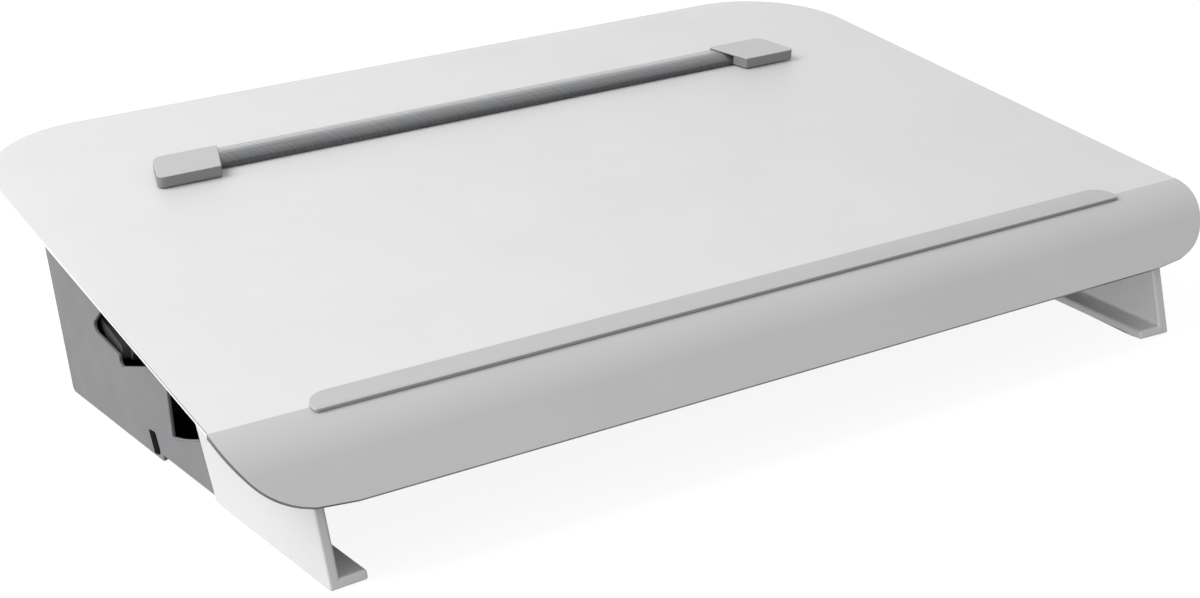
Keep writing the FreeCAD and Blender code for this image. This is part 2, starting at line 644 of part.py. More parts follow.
def quadrant():
    """Left quadrant: a smooth rim about the hinge, the stop slot and the screwed tab."""
    x0, x1 = -RAIL_OUTER_X - QUADRANT_THICKNESS, -RAIL_OUTER_X
    half = STOP_PIN_R + MOVING_GAP
    low = STOP_ANGLE - TILT_RANGE - degrees_on(half + QUADRANT_MARGIN, SLOT_R)
    band = ring_sector(QUADRANT_R - QUADRANT_BAND, QUADRANT_R, low, QUADRANT_TOP_ANGLE, x0, x1)
    above = on_deck(block(-2 * RAIL_OUTER_X, 0, 0, BOARD_BACK_RUN, RAIL_TOP_RISE, PAPER_LINE_Z))
    foot_rise = RAIL_TOP_RISE - RAIL_HEIGHT
    tab = on_deck(side_slab(((TAB_FRONT_RUN, RAIL_TOP_RISE, 0), (TAB_BACK_RUN, RAIL_TOP_RISE, 0),
                             (TAB_BACK_RUN, foot_rise, TAB_R), (TAB_FRONT_RUN, foot_rise, TAB_R)),
                            x0, x1))
    made = band.cut(above).fuse(tab).removeSplitter().cut(stop_slot(x0, x1))
    for head in quadrant_screw_heads():
        made = made.cut(screw_hole(head, V(1, 0, 0), QUADRANT_THICKNESS))
    return made


def quadrant_screw_heads():
    """Where the quadrant's screws stand on its outer face."""
    rise = RAIL_TOP_RISE - RAIL_HEIGHT / 2
    return [V(-RAIL_OUTER_X - QUADRANT_THICKNESS, world_y(run, rise), world_z(run, rise))
            for run in (TAB_FRONT_RUN + TAB_SCREW_INSET, TAB_BACK_RUN - TAB_SCREW_INSET)]


def quadrant_screws():
    """The screws of both quadrants."""
    left = [screw(head, V(1, 0, 0)) for head in quadrant_screw_heads()]
    return Part.makeCompound(left + [mirrored(s) for s in left])


# ---------------------------------------------------------------- base
def foot_front_y(z):
    """Y of the foot's leaning front edge at a height."""
    return FOOT_FRONT_Y + (z - PAD_PROUD) * math.tan(math.radians(FOOT_FRONT_LEAN))


def foot_rear_y(z):
    """Y of the foot's leaning rear edge at a height."""
    return FOOT_REAR_Y + (z - PAD_PROUD) * FOOT_REAR_SLANT


def foot_front_top():
    """Corner (y, z) where the leaning front edge meets an arc that runs below the lip's bend."""
    lean = math.radians(FOOT_FRONT_LEAN)
    arc_r = LIP_BEND_R - BOARD_THICKNESS - LIP_CLEARANCE
    to_centre = (world_y(SEAM_RUN, LIP_CENTRE_RISE) - FOOT_FRONT_Y,
                 world_z(SEAM_RUN, LIP_CENTRE_RISE) - PAD_PROUD)
    along = to_centre[0] * math.sin(lean) + to_centre[1] * math.cos(lean)
    aside = to_centre[0] * math.cos(lean) - to_centre[1] * math.sin(lean)
    z = PAD_PROUD + (along + math.sqrt(arc_r ** 2 - aside ** 2)) * math.cos(lean)
    return foot_front_y(z), z


def foot_rear_top():
    """Corner (y, z) where the leaning rear edge meets a line that runs below the board."""
    climb = FOOT_REAR_SLANT * math.tan(math.radians(SLOPE))
    z = (deck_underside_z(FOOT_REAR_Y) - LIP_CLEARANCE - PAD_PROUD * climb) / (1 - climb)
    return foot_rear_y(z), z


def foot_outline():
    """Foot seen from the side: it follows the underside of the lip and of the board."""
    bend_y = world_y(SEAM_RUN, 0) - LIP_CLEARANCE / 2
    bend_z = deck_underside_z(bend_y) - LIP_CLEARANCE
    return ((FOOT_FRONT_Y, PAD_PROUD, 0), (*foot_front_top(), FOOT_TOP_R), (bend_y, bend_z, FOOT_BEND_R),
            (*foot_rear_top(), FOOT_REAR_R), (FOOT_REAR_Y, PAD_PROUD, 0))


def foot():
    """Left foot: an upright plate with an inward flange on the desk and the hinge boss."""
    plate = side_slab(foot_outline(), -FOOT_FRONT_X, -FOOT_FRONT_X + FOOT_THICKNESS)
    flange_side = ((FOOT_FRONT_Y, PAD_PROUD, 0), (foot_front_y(PAN_BOTTOM_Z), PAN_BOTTOM_Z, 0),
                   (foot_rear_y(PAN_BOTTOM_Z), PAN_BOTTOM_Z, 0), (FOOT_REAR_Y, PAD_PROUD, 0))
    flange = side_slab(flange_side, -FOOT_FRONT_X + FOOT_THICKNESS, -FOOT_FRONT_X + FLANGE_WIDTH)
    body = splayed(plate.fuse(flange).removeSplitter())
    boss_start = -outer_x(HINGE_Y) + FOOT_THICKNESS / 2
    boss = rod_x(HINGE_BOSS_R, boss_start, -BOSS_END_X, HINGE_Y, HINGE_Z)
    body = body.fuse(boss).removeSplitter()
    body = body.cut(rod_x(HINGE_PIN_R, -BOSS_END_X - HINGE_PIN_SEAT, -BOSS_END_X, HINGE_Y, HINGE_Z))
    return with_fixings(body)


def strip_curve():
    """Points (y, z) of the low strip's top line: foot, tall part's front edge, end of the swage."""
    return ((foot_rear_y(PANEL_STRIP_Z), PANEL_STRIP_Z), (PANEL_FRONT_Y, PANEL_FRONT_Z),
            (SWAGE_END_Y, SWAGE_END_Z))


def panel_outline():
    """Side panel: a low front strip behind the foot, then the tall part with a leaning back."""
    at_foot, at_front, _ = strip_curve()
    rear_y = PANEL_REAR_Y + deck_underside_z(PANEL_REAR_Y) * math.tan(math.radians(PANEL_REAR_LEAN))
    return ((foot_rear_y(STRIP_BOTTOM_Z), STRIP_BOTTOM_Z, 0), (*at_foot, 0),
            ((at_foot[0] + at_front[0]) / 2, (at_foot[1] + at_front[1]) / 2 - STRIP_SAG, STRIP_SAG_R),
            (*at_front, STRIP_END_R),
            (PANEL_FRONT_Y, deck_underside_z(PANEL_FRONT_Y) - PANEL_TOP_GAP, PANEL_CORNER_R),
            (rear_y, deck_underside_z(rear_y) - PANEL_TOP_GAP, PANEL_CORNER_R),
            (PANEL_REAR_Y, PAD_PROUD, PANEL_CORNER_R), (STRIP_STEP_Y, PAD_PROUD, STRIP_STEP_R),
            (STRIP_STEP_Y, STRIP_BOTTOM_Z, STRIP_STEP_R))


def slit_cutter(x0, x1):
    """Narrow slot with round ends through the low part of the panel."""
    (y0, z0), (y1, z1) = SLIT_BOTTOM, SLIT_TOP
    length = math.hypot(y1 - y0, z1 - z0)
    side_y = (z1 - z0) / length * SLIT_WIDTH / 2
    side_z = -(y1 - y0) / length * SLIT_WIDTH / 2
    middle = side_slab(((y0 - side_y, z0 - side_z, 0), (y0 + side_y, z0 + side_z, 0),
                        (y1 + side_y, z1 + side_z, 0), (y1 - side_y, z1 - side_z, 0)), x0, x1)
    return middle.fuse([rod_x(SLIT_WIDTH / 2, x0, x1, y, z) for y, z in (SLIT_BOTTOM, SLIT_TOP)])


def slit_insert():
    """Left black insert that fills the slot."""
    outer = -FOOT_FRONT_X
    return splayed(slit_cutter(outer + SLIT_INSERT_SET_BACK, outer + PANEL_THICKNESS))


def swage_cutter(outer):
    """Shallow set-back below the strip's top line; its depth fades out towards the back."""
    at_foot, at_front, at_end = strip_curve()
    curve = Part.BSplineCurve()
    curve.interpolate([on_side(*at_foot), on_side(*at_front), on_side(*at_end)])
    ahead_y = at_foot[0] - PANEL_STRIP_Z
    round_it = [on_side(*at_end), on_side(at_end[0], 0), on_side(ahead_y, 0), on_side(ahead_y, at_foot[1]),
                on_side(*at_foot)]
    edges = [curve.toShape()] + [Part.makeLine(p, q) for p, q in zip(round_it, round_it[1:])]
    cutter = Part.Face(Part.Wire(edges)).extrude(V(-PANEL_THICKNESS, 0, 0))
    cutter.translate(V(outer, 0, 0))
    fade = math.degrees(math.atan2(SWAGE_DEPTH, SWAGE_END_Y - FOOT_REAR_Y))
    cutter.rotate(V(outer, SWAGE_END_Y, 0), V(0, 0, 1), fade)
    return cutter


def side_panel():
    """Left side panel with its bottom flange, window, slit, swage and bumper shelf."""
    outer = -FOOT_FRONT_X
    inner = outer + PANEL_THICKNESS
    wall = side_slab(panel_outline(), outer, inner)
    window = tuple((LEVER_PIVOT_Y + y, z, radius) for y, z, radius in WINDOW)
    wall = wall.cut(side_slab(window, outer, inner))
    wall = wall.cut(swage_cutter(outer))
    back_y = PANEL_REAR_Y - PANEL_CORNER_R
    flange = block(inner, outer + FLANGE_WIDTH, STRIP_STEP_Y + STRIP_STEP_R, back_y, PAD_PROUD, PAN_BOTTOM_Z)
    body = wall.fuse(flange).removeSplitter()
    body = body.cut(slit_cutter(outer, inner))
    half = BUMPER_SHELF_SIZE / 2
    shelf = block(inner, inner + BUMPER_SHELF_SIZE, BUMPER_SHELF_Y - half, BUMPER_SHELF_Y + half,
                  bumper_shelf_z() - BUMPER_SHELF_THICKNESS, bumper_shelf_z())
    body = splayed(body.fuse(shelf).removeSplitter())
    return with_fixings(body)


def bumper_shelf_z():
    """Top of the shelf whose bumper stands just under the closed deck."""
    return deck_underside_z(BUMPER_SHELF_Y) - BUMPER_HEIGHT - BUMPER_GAP - BUMPER_R * SIN_SLOPE


def flange_points():
    """Pads and pan screws along the left flanges: (distance from the front corner, kind)."""
    length = PANEL_REAR_Y - FOOT_FRONT_Y
    return FIXINGS_FROM_FRONT + tuple((length - back, kind) for back, kind in FIXINGS_FROM_REAR)


def flange_spot(along):
    """Point on the middle of the left flange, a distance back from the foot's front corner."""
    inset = (FOOT_THICKNESS + FLANGE_WIDTH) / 2
    spot = V(-FOOT_FRONT_X + inset, FOOT_FRONT_Y + along, 0)
    turn = FreeCAD.Rotation(V(0, 0, 1), SPLAY)
    corner = V(-FOOT_FRONT_X, FOOT_FRONT_Y, 0)
    return corner + turn.multVec(spot - corner)


def pad_spots():
    """Centres of the left-hand pads; the last one is under the skid."""
    spots = [flange_spot(along) for along, kind in flange_points() if kind == "pad"]
    skid_y = PAN_BACK_Y - SKID_BACK_GAP - SKID_DEPTH / 2
    return spots + [V(-SKID_HALF_WIDTH / 2, skid_y, 0)]


def screw_spots():
    """Centres of the left-hand pan screws."""
    return [flange_spot(along) for along, kind in flange_points() if kind == "screw"]


def with_fixings(body):
    """Sinks the pads and drills the pan's screw holes in a base piece."""
    for spot in pad_spots():
        body = body.cut(rod_z(PAD_R + PAD_CLEARANCE, spot.x, spot.y, 0, PAD_PROUD + PAD_SUNK))
    depth = PAN_THICKNESS + SCREW_BITE + FIT
    for spot in screw_spots():
        body = body.cut(screw_hole(V(spot.x, spot.y, PAN_TOP_Z), V(0, 0, -1), depth))
    return body


def rubber_pads():
    """All the pads that the base stands on."""
    left = [rod_z(PAD_R, spot.x, spot.y, 0, PAD_PROUD + PAD_SUNK) for spot in pad_spots()]
    return Part.makeCompound(left + [mirrored(pad) for pad in left])


def base_pan():
    """Steel pan that ties the two sides together and carries the drawer's runners."""
    def half_width(y):
        wall = FOOT_THICKNESS if y < FOOT_REAR_Y else PANEL_THICKNESS
        return outer_x(y) - wall - PAN_SIDE_GAP

    front, back = half_width(PAN_FRONT_Y), half_width(PAN_BACK_Y)
    outline = ((-front, PAN_FRONT_Y, PAN_FRONT_R), (front, PAN_FRONT_Y, PAN_FRONT_R),
               (back, PAN_BACK_Y, PAN_BACK_R), (-back, PAN_BACK_Y, PAN_BACK_R))
    pan = plan_slab(outline, PAN_BOTTOM_Z, PAN_TOP_Z)
    holes = [screw_hole(V(s.x, s.y, PAN_TOP_Z), V(0, 0, -1), PAN_THICKNESS) for s in screw_spots()]
    return pan.cut(holes + [mirrored(h) for h in holes])


def base_screws():
    """Screws that hold the pan down on the flanges."""
    left = [screw(V(s.x, s.y, PAN_TOP_Z), V(0, 0, -1)) for s in screw_spots()]
    return Part.makeCompound(left + [mirrored(s) for s in left])


def rear_wall():
    """Folded steel wall at the back of the pan, between the side panels."""
    half = outer_x(PAN_BACK_Y) - PANEL_THICKNESS - REAR_WALL_END_GAP
    y0 = PAN_BACK_Y - REAR_WALL_THICKNESS
    upright = front_slab(((-half, PAN_TOP_Z, 0), (half, PAN_TOP_Z, 0),
                          (half, REAR_WALL_TOP_Z, REAR_WALL_R), (-half, REAR_WALL_TOP_Z, REAR_WALL_R)),
                         y0, PAN_BACK_Y)
    inset = BUMPER_SHELF_SIZE + PANEL_THICKNESS
    fold = block(-half + inset, half - inset, y0 - REAR_WALL_FLANGE, y0,
                 REAR_WALL_TOP_Z - REAR_WALL_THICKNESS, REAR_WALL_TOP_Z)
    return upright.fuse(fold).removeSplitter()


def rear_skid():
    """Cross bar under the back of the pan, so that its middle doesn't sag."""
    y1 = PAN_BACK_Y - SKID_BACK_GAP
    skid = block(-SKID_HALF_WIDTH, SKID_HALF_WIDTH, y1 - SKID_DEPTH, y1, PAD_PROUD, PAN_BOTTOM_Z)
    for spot in pad_spots()[-1:]:
        pocket = rod_z(PAD_R + PAD_CLEARANCE, spot.x, spot.y, 0, PAD_PROUD + PAD_SUNK)
        skid = skid.cut(pocket).cut(mirrored(pocket))
    return skid


def drawer_runner():
    """Left channel that the drawer's glide runs in, with a foot flange on the pan."""
    inner = TRAY_HALF_WIDTH + RUNNER_GAP
    groove_end = TRAY_HALF_WIDTH + GLIDE_WIDTH + GLIDE_CLEARANCE
    outer = groove_end + RUNNER_WEB
    z0 = GLIDE_BOTTOM_Z - GLIDE_CLEARANCE
    z1 = GLIDE_BOTTOM_Z + GLIDE_HEIGHT + GLIDE_CLEARANCE
    foot_end = outer + RUNNER_FLANGE_X
    foot_top = PAN_TOP_Z + RUNNER_WEB
    section = ((inner, z0 - RUNNER_WEB), (inner, z0), (groove_end, z0), (groove_end, z1), (inner, z1),
               (inner, z1 + RUNNER_WEB), (outer, z1 + RUNNER_WEB), (outer, foot_top), (foot_end, foot_top),
               (foot_end, PAN_TOP_Z), (groove_end, PAN_TOP_Z), (groove_end, z0 - RUNNER_WEB))
    return front_slab(tuple((-x, z, 0) for x, z in section), RUNNER_FRONT_Y, RUNNER_BACK_Y)


def hinge_pin():
    """Left hinge pin, pressed into the foot's boss."""
    return rod_x(HINGE_PIN_R, -BOSS_END_X - HINGE_PIN_SEAT, -EAR_INNER_X + FIT, HINGE_Y, HINGE_Z)


def deck_bottom_z(y):
    """Height of the side rails' underside at a given Y."""
    return PAPER_LINE_Z + (y * SIN_SLOPE + RAIL_TOP_RISE - RAIL_HEIGHT) / COS_SLOPE


def side_plate():
    """Left inner side plate: an upright with a flange on the pan and the lever's boss."""
    def top(y):
        return deck_bottom_z(y) - PLATE_DECK_GAP

    inner = PLATE_OUTER_X - PLATE_THICKNESS
    upright = side_slab(((PLATE_FRONT_Y, PAN_TOP_Z, 0),
                         (PLATE_FRONT_Y, top(PLATE_FRONT_Y), PLATE_CORNER_R),
                         (PLATE_BACK_Y, top(PLATE_BACK_Y), PLATE_CORNER_R),
                         (PLATE_BACK_Y, PAN_TOP_Z, 0)), -PLATE_OUTER_X, -inner)
    flange = block(-inner, -inner + PLATE_FLANGE, PLATE_FRONT_Y, PLATE_BACK_Y,
                   PAN_TOP_Z, PAN_TOP_Z + PLATE_THICKNESS)
    boss = rod_x(LEVER_BOSS_R, -LEVER_INNER_X + MOVING_GAP, -PLATE_OUTER_X, LEVER_PIVOT_Y, LEVER_PIVOT_Z)
    made = upright.fuse([flange, boss]).removeSplitter()
    made = made.cut(rod_x(LEVER_PIN_R, -LEVER_INNER_X, -inner, LEVER_PIVOT_Y, LEVER_PIVOT_Z))
    return made.cut(rod_x(STOP_PIN_R, -PLATE_OUTER_X, -inner, *about_hinge(SLOT_R, STOP_ANGLE)))


def lever_pin_end_x():
    """How far out the lever pin reaches: past the lever by the length of its spring."""
    return LEVER_OUTER_X + MOVING_GAP + 2 * SPRING_TURNS * SPRING_WIRE_R


def lever_pin():
    """Left lever pin, pressed into the side plate."""
    return rod_x(LEVER_PIN_R, -lever_pin_end_x(), -PLATE_OUTER_X + PLATE_THICKNESS,
                 LEVER_PIVOT_Y, LEVER_PIVOT_Z)


def stop_pin():
    """Left stop pin, pressed into the side plate and standing in the quadrant's slot."""
    return rod_x(STOP_PIN_R, -RAIL_OUTER_X - QUADRANT_THICKNESS, -PLATE_OUTER_X + PLATE_THICKNESS,
                 *about_hinge(SLOT_R, STOP_ANGLE))


def rest_bumper():
    """Left rubber bumper that the closed deck comes down to."""
    centre_x = -FOOT_FRONT_X + PANEL_THICKNESS + BUMPER_SHELF_SIZE / 2
    return splayed(rod_z(BUMPER_R, centre_x, BUMPER_SHELF_Y, bumper_shelf_z(),
                         bumper_shelf_z() + BUMPER_HEIGHT))


# ---------------------------------------------------------------- release lever
def paddle_sill(y):
    """Height of the paddle's underside at a given Y."""
    return PADDLE_SILL_Z + (y - LEVER_PIVOT_Y) * math.tan(math.radians(PADDLE_SLOPE))


def lever_shoe():
    """Left shoe, struck about the deck hinge like the quadrant's rim that it faces."""
    shoe_r = QUADRANT_R + MOVING_GAP
    return ring_sector(shoe_r, shoe_r + SHOE_DEPTH, SHOE_LOW_ANGLE, SHOE_HIGH_ANGLE,
                       -LEVER_OUTER_X, -SHOE_INNER_X)


def lever_arm():
    """Left arm from the hub past the shoe to the paddle."""
    front_z = paddle_sill(PADDLE_FRONT_Y)
    shoe_r = QUADRANT_R + MOVING_GAP
    outline = ((LEVER_PIVOT_Y - LEVER_HUB_R, LEVER_PIVOT_Z, 0),
               (*about_hinge(shoe_r, SHOE_HIGH_ANGLE), 0),
               (*about_hinge(shoe_r, SHOE_LOW_ANGLE), 0),
               (PADDLE_FRONT_Y, front_z, 0),
               (PADDLE_FRONT_Y + PADDLE_THICKNESS, front_z + PADDLE_THICKNESS, 0),
               (LEVER_PIVOT_Y + LEVER_HUB_R, LEVER_PIVOT_Z, 0))
    return side_slab(outline, -LEVER_OUTER_X, -LEVER_INNER_X)


def lever_paddle():
    """Left paddle: a flat bar along the window's lower edge."""
    front_z, end_z = paddle_sill(PADDLE_FRONT_Y), paddle_sill(PADDLE_END_Y)
    return side_slab(((PADDLE_FRONT_Y, front_z, PADDLE_R),
                      (PADDLE_END_Y, end_z, PADDLE_R),
                      (PADDLE_END_Y, end_z + PADDLE_THICKNESS, PADDLE_R),
                      (PADDLE_FRONT_Y, front_z + PADDLE_THICKNESS, PADDLE_R)),
                     -PADDLE_OUTER_X, -PADDLE_INNER_X)


def release_lever():
    """Left lever: a hub on the pin, a shoe at the quadrant's rim, a paddle behind them."""
    hub = rod_x(LEVER_HUB_R, -LEVER_OUTER_X, -LEVER_INNER_X, LEVER_PIVOT_Y, LEVER_PIVOT_Z)
    bore = rod_x(LEVER_PIN_R + RUNNING_FIT, -LEVER_OUTER_X, -LEVER_INNER_X, LEVER_PIVOT_Y, LEVER_PIVOT_Z)
    lever = lever_arm().fuse([hub, lever_shoe(), lever_paddle()]).removeSplitter()
    return lever.cut(bore)


def lever_spring():
    """Left return spring: close turns round the end of the lever pin."""
    turns = []
    radius = LEVER_PIN_R + SPRING_WIRE_R + FIT
    for turn in range(SPRING_TURNS):
        x = -LEVER_OUTER_X - MOVING_GAP - SPRING_WIRE_R * (2 * turn + 1)
        centre = V(x, LEVER_PIVOT_Y, LEVER_PIVOT_Z)
        turns.append(Part.makeTorus(radius, SPRING_WIRE_R, centre, V(1, 0, 0)))
    return turns


# ---------------------------------------------------------------- drawer
def pull_notch(y0, y1):
    """Finger notch in the top edge of the front panel and of the tray behind it."""
    low = DRAWER_FRONT_TOP_Z - PULL_DEPTH
    high = DRAWER_FRONT_TOP_Z + PULL_R
    wide = PULL_HALF_WIDTH + PULL_DEPTH
    return front_slab(((-PULL_HALF_WIDTH, low, PULL_R), (PULL_HALF_WIDTH, low, PULL_R),
                       (wide, high, 0), (-wide, high, 0)), y0, y1)


def drawer_front():
    """Front panel with a finger notch in its top edge."""
    outline = rectangle(-DRAWER_FRONT_HALF_WIDTH, DRAWER_FRONT_HALF_WIDTH,
                        DRAWER_FRONT_BOTTOM_Z, DRAWER_FRONT_TOP_Z, DRAWER_FRONT_R)
    return front_slab(outline, DRAWER_FRONT_Y, TRAY_FRONT_Y).cut(pull_notch(DRAWER_FRONT_Y, TRAY_FRONT_Y))


def drawer_tray():
    """Open tray behind the front panel."""
    outline = rectangle(-TRAY_HALF_WIDTH, TRAY_HALF_WIDTH, TRAY_FRONT_Y, TRAY_BACK_Y, TRAY_R)
    inside = rectangle(-TRAY_HALF_WIDTH + TRAY_WALL, TRAY_HALF_WIDTH - TRAY_WALL,
                       TRAY_FRONT_Y + TRAY_WALL, TRAY_BACK_Y - TRAY_WALL, TRAY_R - TRAY_WALL)
    tray = plan_slab(outline, TRAY_BOTTOM_Z, TRAY_TOP_Z).cut(plan_slab(inside, TRAY_FLOOR_Z, TRAY_TOP_Z))
    return tray.cut(pull_notch(TRAY_FRONT_Y, TRAY_FRONT_Y + TRAY_WALL))


def pen_tray_depth():
    """Depth of the pen tray, from its grooves."""
    return PEN_GROOVES * (2 * PEN_GROOVE_R + PEN_TRAY_WALL) + PEN_TRAY_WALL


def pen_tray():
    """Loose insert with round grooves for pens, at the front left of the tray."""
    y0 = TRAY_FRONT_Y + TRAY_WALL + FIT
    x0 = PEN_TRAY_CENTRE_X - PEN_TRAY_HALF_WIDTH
    x1 = PEN_TRAY_CENTRE_X + PEN_TRAY_HALF_WIDTH
    outline = rectangle(x0, x1, y0, y0 + pen_tray_depth(), TRAY_R - TRAY_WALL)
    top = TRAY_FLOOR_Z + PEN_GROOVE_R + PEN_TRAY_WALL / 2
    insert = plan_slab(outline, TRAY_FLOOR_Z, top)
    for groove in range(PEN_GROOVES):
        y = y0 + PEN_TRAY_WALL + PEN_GROOVE_R + groove * (2 * PEN_GROOVE_R + PEN_TRAY_WALL)
        insert = insert.cut(rod_x(PEN_GROOVE_R, x0 + PEN_TRAY_WALL, x1 - PEN_TRAY_WALL, y, top))
    return insert


def drawer_divider():
    """Long partition behind the pen tray."""
    y0 = TRAY_FRONT_Y + TRAY_WALL + pen_tray_depth() + 2 * FIT
    half = TRAY_HALF_WIDTH - TRAY_WALL - FIT
    return block(-half, half, y0, y0 + DIVIDER_THICKNESS, TRAY_FLOOR_Z, TRAY_FLOOR_Z + DIVIDER_HEIGHT)


def cross_divider():
    """Short partition from the long one to the tray's back wall."""
    y0 = TRAY_FRONT_Y + TRAY_WALL + pen_tray_depth() + 2 * FIT + DIVIDER_THICKNESS
    x0 = PEN_TRAY_CENTRE_X + PEN_TRAY_HALF_WIDTH
    return block(x0, x0 + DIVIDER_THICKNESS, y0, TRAY_BACK_Y - TRAY_WALL - FIT, TRAY_FLOOR_Z,
                 TRAY_FLOOR_Z + DIVIDER_HEIGHT)


def drawer_glide():
    """Left slippery rib on the tray's side that runs in the runner's channel."""
    outline = rectangle(-TRAY_HALF_WIDTH - GLIDE_WIDTH, -TRAY_HALF_WIDTH, GLIDE_BOTTOM_Z,
                        GLIDE_BOTTOM_Z + GLIDE_HEIGHT)
    return front_slab(outline, TRAY_BACK_Y - GLIDE_LENGTH, TRAY_BACK_Y - TRAY_R)


# ---------------------------------------------------------------- line guide
def at_guide(shape):
    """Moves a shape drawn about the middle of the guide's caps to its place on the deck."""
    placed = shape.copy()
    placed.translate(V(0, GUIDE_RUN, 0))
    return on_deck(placed)


def at_magnet(radius, rise, thickness):
    """A disc under the left end of the bar, from a rise up."""
    return Part.makeCylinder(radius, thickness, V(-MAGNET_X, MAGNET_RUN, rise), V(0, 0, 1))


def guide_bar():
    """Ruler-like bar that spans the board, with a pocket for each magnet."""
    low, high = GUIDE_BOTTOM_RISE, GUIDE_BOTTOM_RISE + BAR_HEIGHT
    bar = side_slab(((BAR_FRONT, low, 0), (BAR_FRONT, low + BAR_FRONT_HEIGHT, BAR_FRONT_R),
                     (BAR_BEND, high, BAR_BEND_R), (BAR_BACK, high, BAR_BACK_R), (BAR_BACK, low, 0)),
                    -BAR_HALF_LENGTH, BAR_HALF_LENGTH)
    pocket = at_magnet(MAGNET_R + SOCKET_FIT, low, MAGNET_THICKNESS + SOCKET_FIT)
    return at_guide(bar.cut(both_sides(pocket)))


def guide_cap():
    """Left end cap, with a square socket that the bar is pushed into."""
    half = CAP_WIDTH / 2
    top = GUIDE_BOTTOM_RISE + CAP_HEIGHT
    outline = ((-CAP_FRONT_OUTER_X, -half, CAP_FRONT_R), (-CAP_FRONT_INNER_X, -half, CAP_INNER_R),
               (-CAP_BACK_INNER_X, half, CAP_INNER_R), (-CAP_BACK_OUTER_X, half, CAP_BACK_R))
    cap = plan_slab(outline, GUIDE_BOTTOM_RISE, top)
    rim = [e for e in cap.Edges if min(v.Z for v in e.Vertexes) > top - TINY]
    cap = cap.makeFillet(CAP_EDGE_R, rim)
    socket = block(-BAR_HALF_LENGTH - SOCKET_FIT, 0, BAR_FRONT - SOCKET_FIT, BAR_BACK + SOCKET_FIT,
                   0, GUIDE_BOTTOM_RISE + BAR_HEIGHT + SOCKET_FIT)
    return at_guide(cap.cut(socket))


def guide_magnet():
    """Left disc magnet, sunk in the underside of the bar."""
    return at_magnet(MAGNET_R, GUIDE_BOTTOM_RISE, MAGNET_THICKNESS)


def guide_pad():
    """Left felt pad under the magnet."""
    return at_magnet(GUIDE_PAD_R, GUIDE_GAP, GUIDE_PAD_THICKNESS)


# ---------------------------------------------------------------- assembly
def pieces():
    """Every piece by its node name."""
    paired = {"foot": foot(), "side_panel": side_panel(), "drawer_runner": drawer_runner(),
              "side_rail": side_rail(), "hinge_ear": hinge_ear(), "quadrant": quadrant(),
              "side_plate": side_plate(), "release_lever": release_lever(), "guide_cap": guide_cap()}
    made = {}
    for name, left in paired.items():
        made["left_" + name] = left
        made["right_" + name] = mirrored(left)
    springs = lever_spring()
    made.update({
        "base_pan": base_pan(), "rear_wall": rear_wall(), "rear_skid": rear_skid(),
        "rubber_pads": rubber_pads(), "base_screws": base_screws(),
        "hinge_pins": both_sides(hinge_pin()), "lever_pins": both_sides(lever_pin()),
        "stop_pins": both_sides(stop_pin()), "slit_inserts": both_sides(slit_insert()),
        "lever_springs": Part.makeCompound(springs + [mirrored(s) for s in springs]),
        "rest_bumpers": both_sides(rest_bumper()),
        "writing_board": writing_board(), "front_lip": front_lip(), "document_ledge": document_ledge(),
        "steel_sheet": steel_sheet(), "front_beam": front_beam(), "rear_beam": rear_beam(),
        "quadrant_screws": quadrant_screws(),
        "drawer_front": drawer_front(), "drawer_tray": drawer_tray(), "pen_tray": pen_tray(),
        "drawer_divider": drawer_divider(), "cross_divider": cross_divider(),
        "drawer_glides": both_sides(drawer_glide()),
        "guide_bar": guide_bar(), "guide_magnets": at_guide(both_sides(guide_magnet())),
        "guide_pads": at_guide(both_sides(guide_pad())),
    })
    return made


def main():
    os.makedirs("parts", exist_ok=True)
    for name, shape in pieces().items():
        shape.translate(V(0, ORIGIN_SHIFT_Y, 0))
        if not shape.isValid():
            print("not valid:", name)
        shape.exportStep("parts/" + name + ".step")
    print("origin shift", round(ORIGIN_SHIFT_Y, 4))
    print("deck hinge", round(HINGE_Y + ORIGIN_SHIFT_Y, 4), HINGE_Z)
    print("lever pivot", round(LEVER_PIVOT_Y + ORIGIN_SHIFT_Y, 4), round(LEVER_PIVOT_Z, 4))


main()
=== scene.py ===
# %% [markdown]
# # A sloped document holder over a shallow drawer
#
# The imported model is a fixed frame: its solids say where everything is and how it moves. This
# notebook dresses it. It loads the frame and then makes the surfaces that the eye lands on, one
# piece at a time, each with the finish of the real one.

# %% Load the frame
import json
import math
import bmesh
import bpy
import numpy as np
from mathutils import Matrix, Vector


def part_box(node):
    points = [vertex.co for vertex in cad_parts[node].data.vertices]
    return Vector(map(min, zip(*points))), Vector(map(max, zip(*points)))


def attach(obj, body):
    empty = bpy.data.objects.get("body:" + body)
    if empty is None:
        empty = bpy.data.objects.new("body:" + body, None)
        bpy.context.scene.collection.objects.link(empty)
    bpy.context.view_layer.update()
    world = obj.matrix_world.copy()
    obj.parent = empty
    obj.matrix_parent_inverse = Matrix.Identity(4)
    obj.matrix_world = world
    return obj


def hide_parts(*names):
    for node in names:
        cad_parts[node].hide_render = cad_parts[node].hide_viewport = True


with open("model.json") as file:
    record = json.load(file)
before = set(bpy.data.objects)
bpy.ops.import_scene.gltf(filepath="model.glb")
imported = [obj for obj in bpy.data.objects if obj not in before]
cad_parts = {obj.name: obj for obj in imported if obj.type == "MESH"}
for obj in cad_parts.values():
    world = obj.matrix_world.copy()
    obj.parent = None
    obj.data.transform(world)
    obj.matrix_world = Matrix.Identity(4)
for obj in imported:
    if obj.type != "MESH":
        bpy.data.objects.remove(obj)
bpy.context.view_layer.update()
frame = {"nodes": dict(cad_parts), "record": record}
MM = 0.001

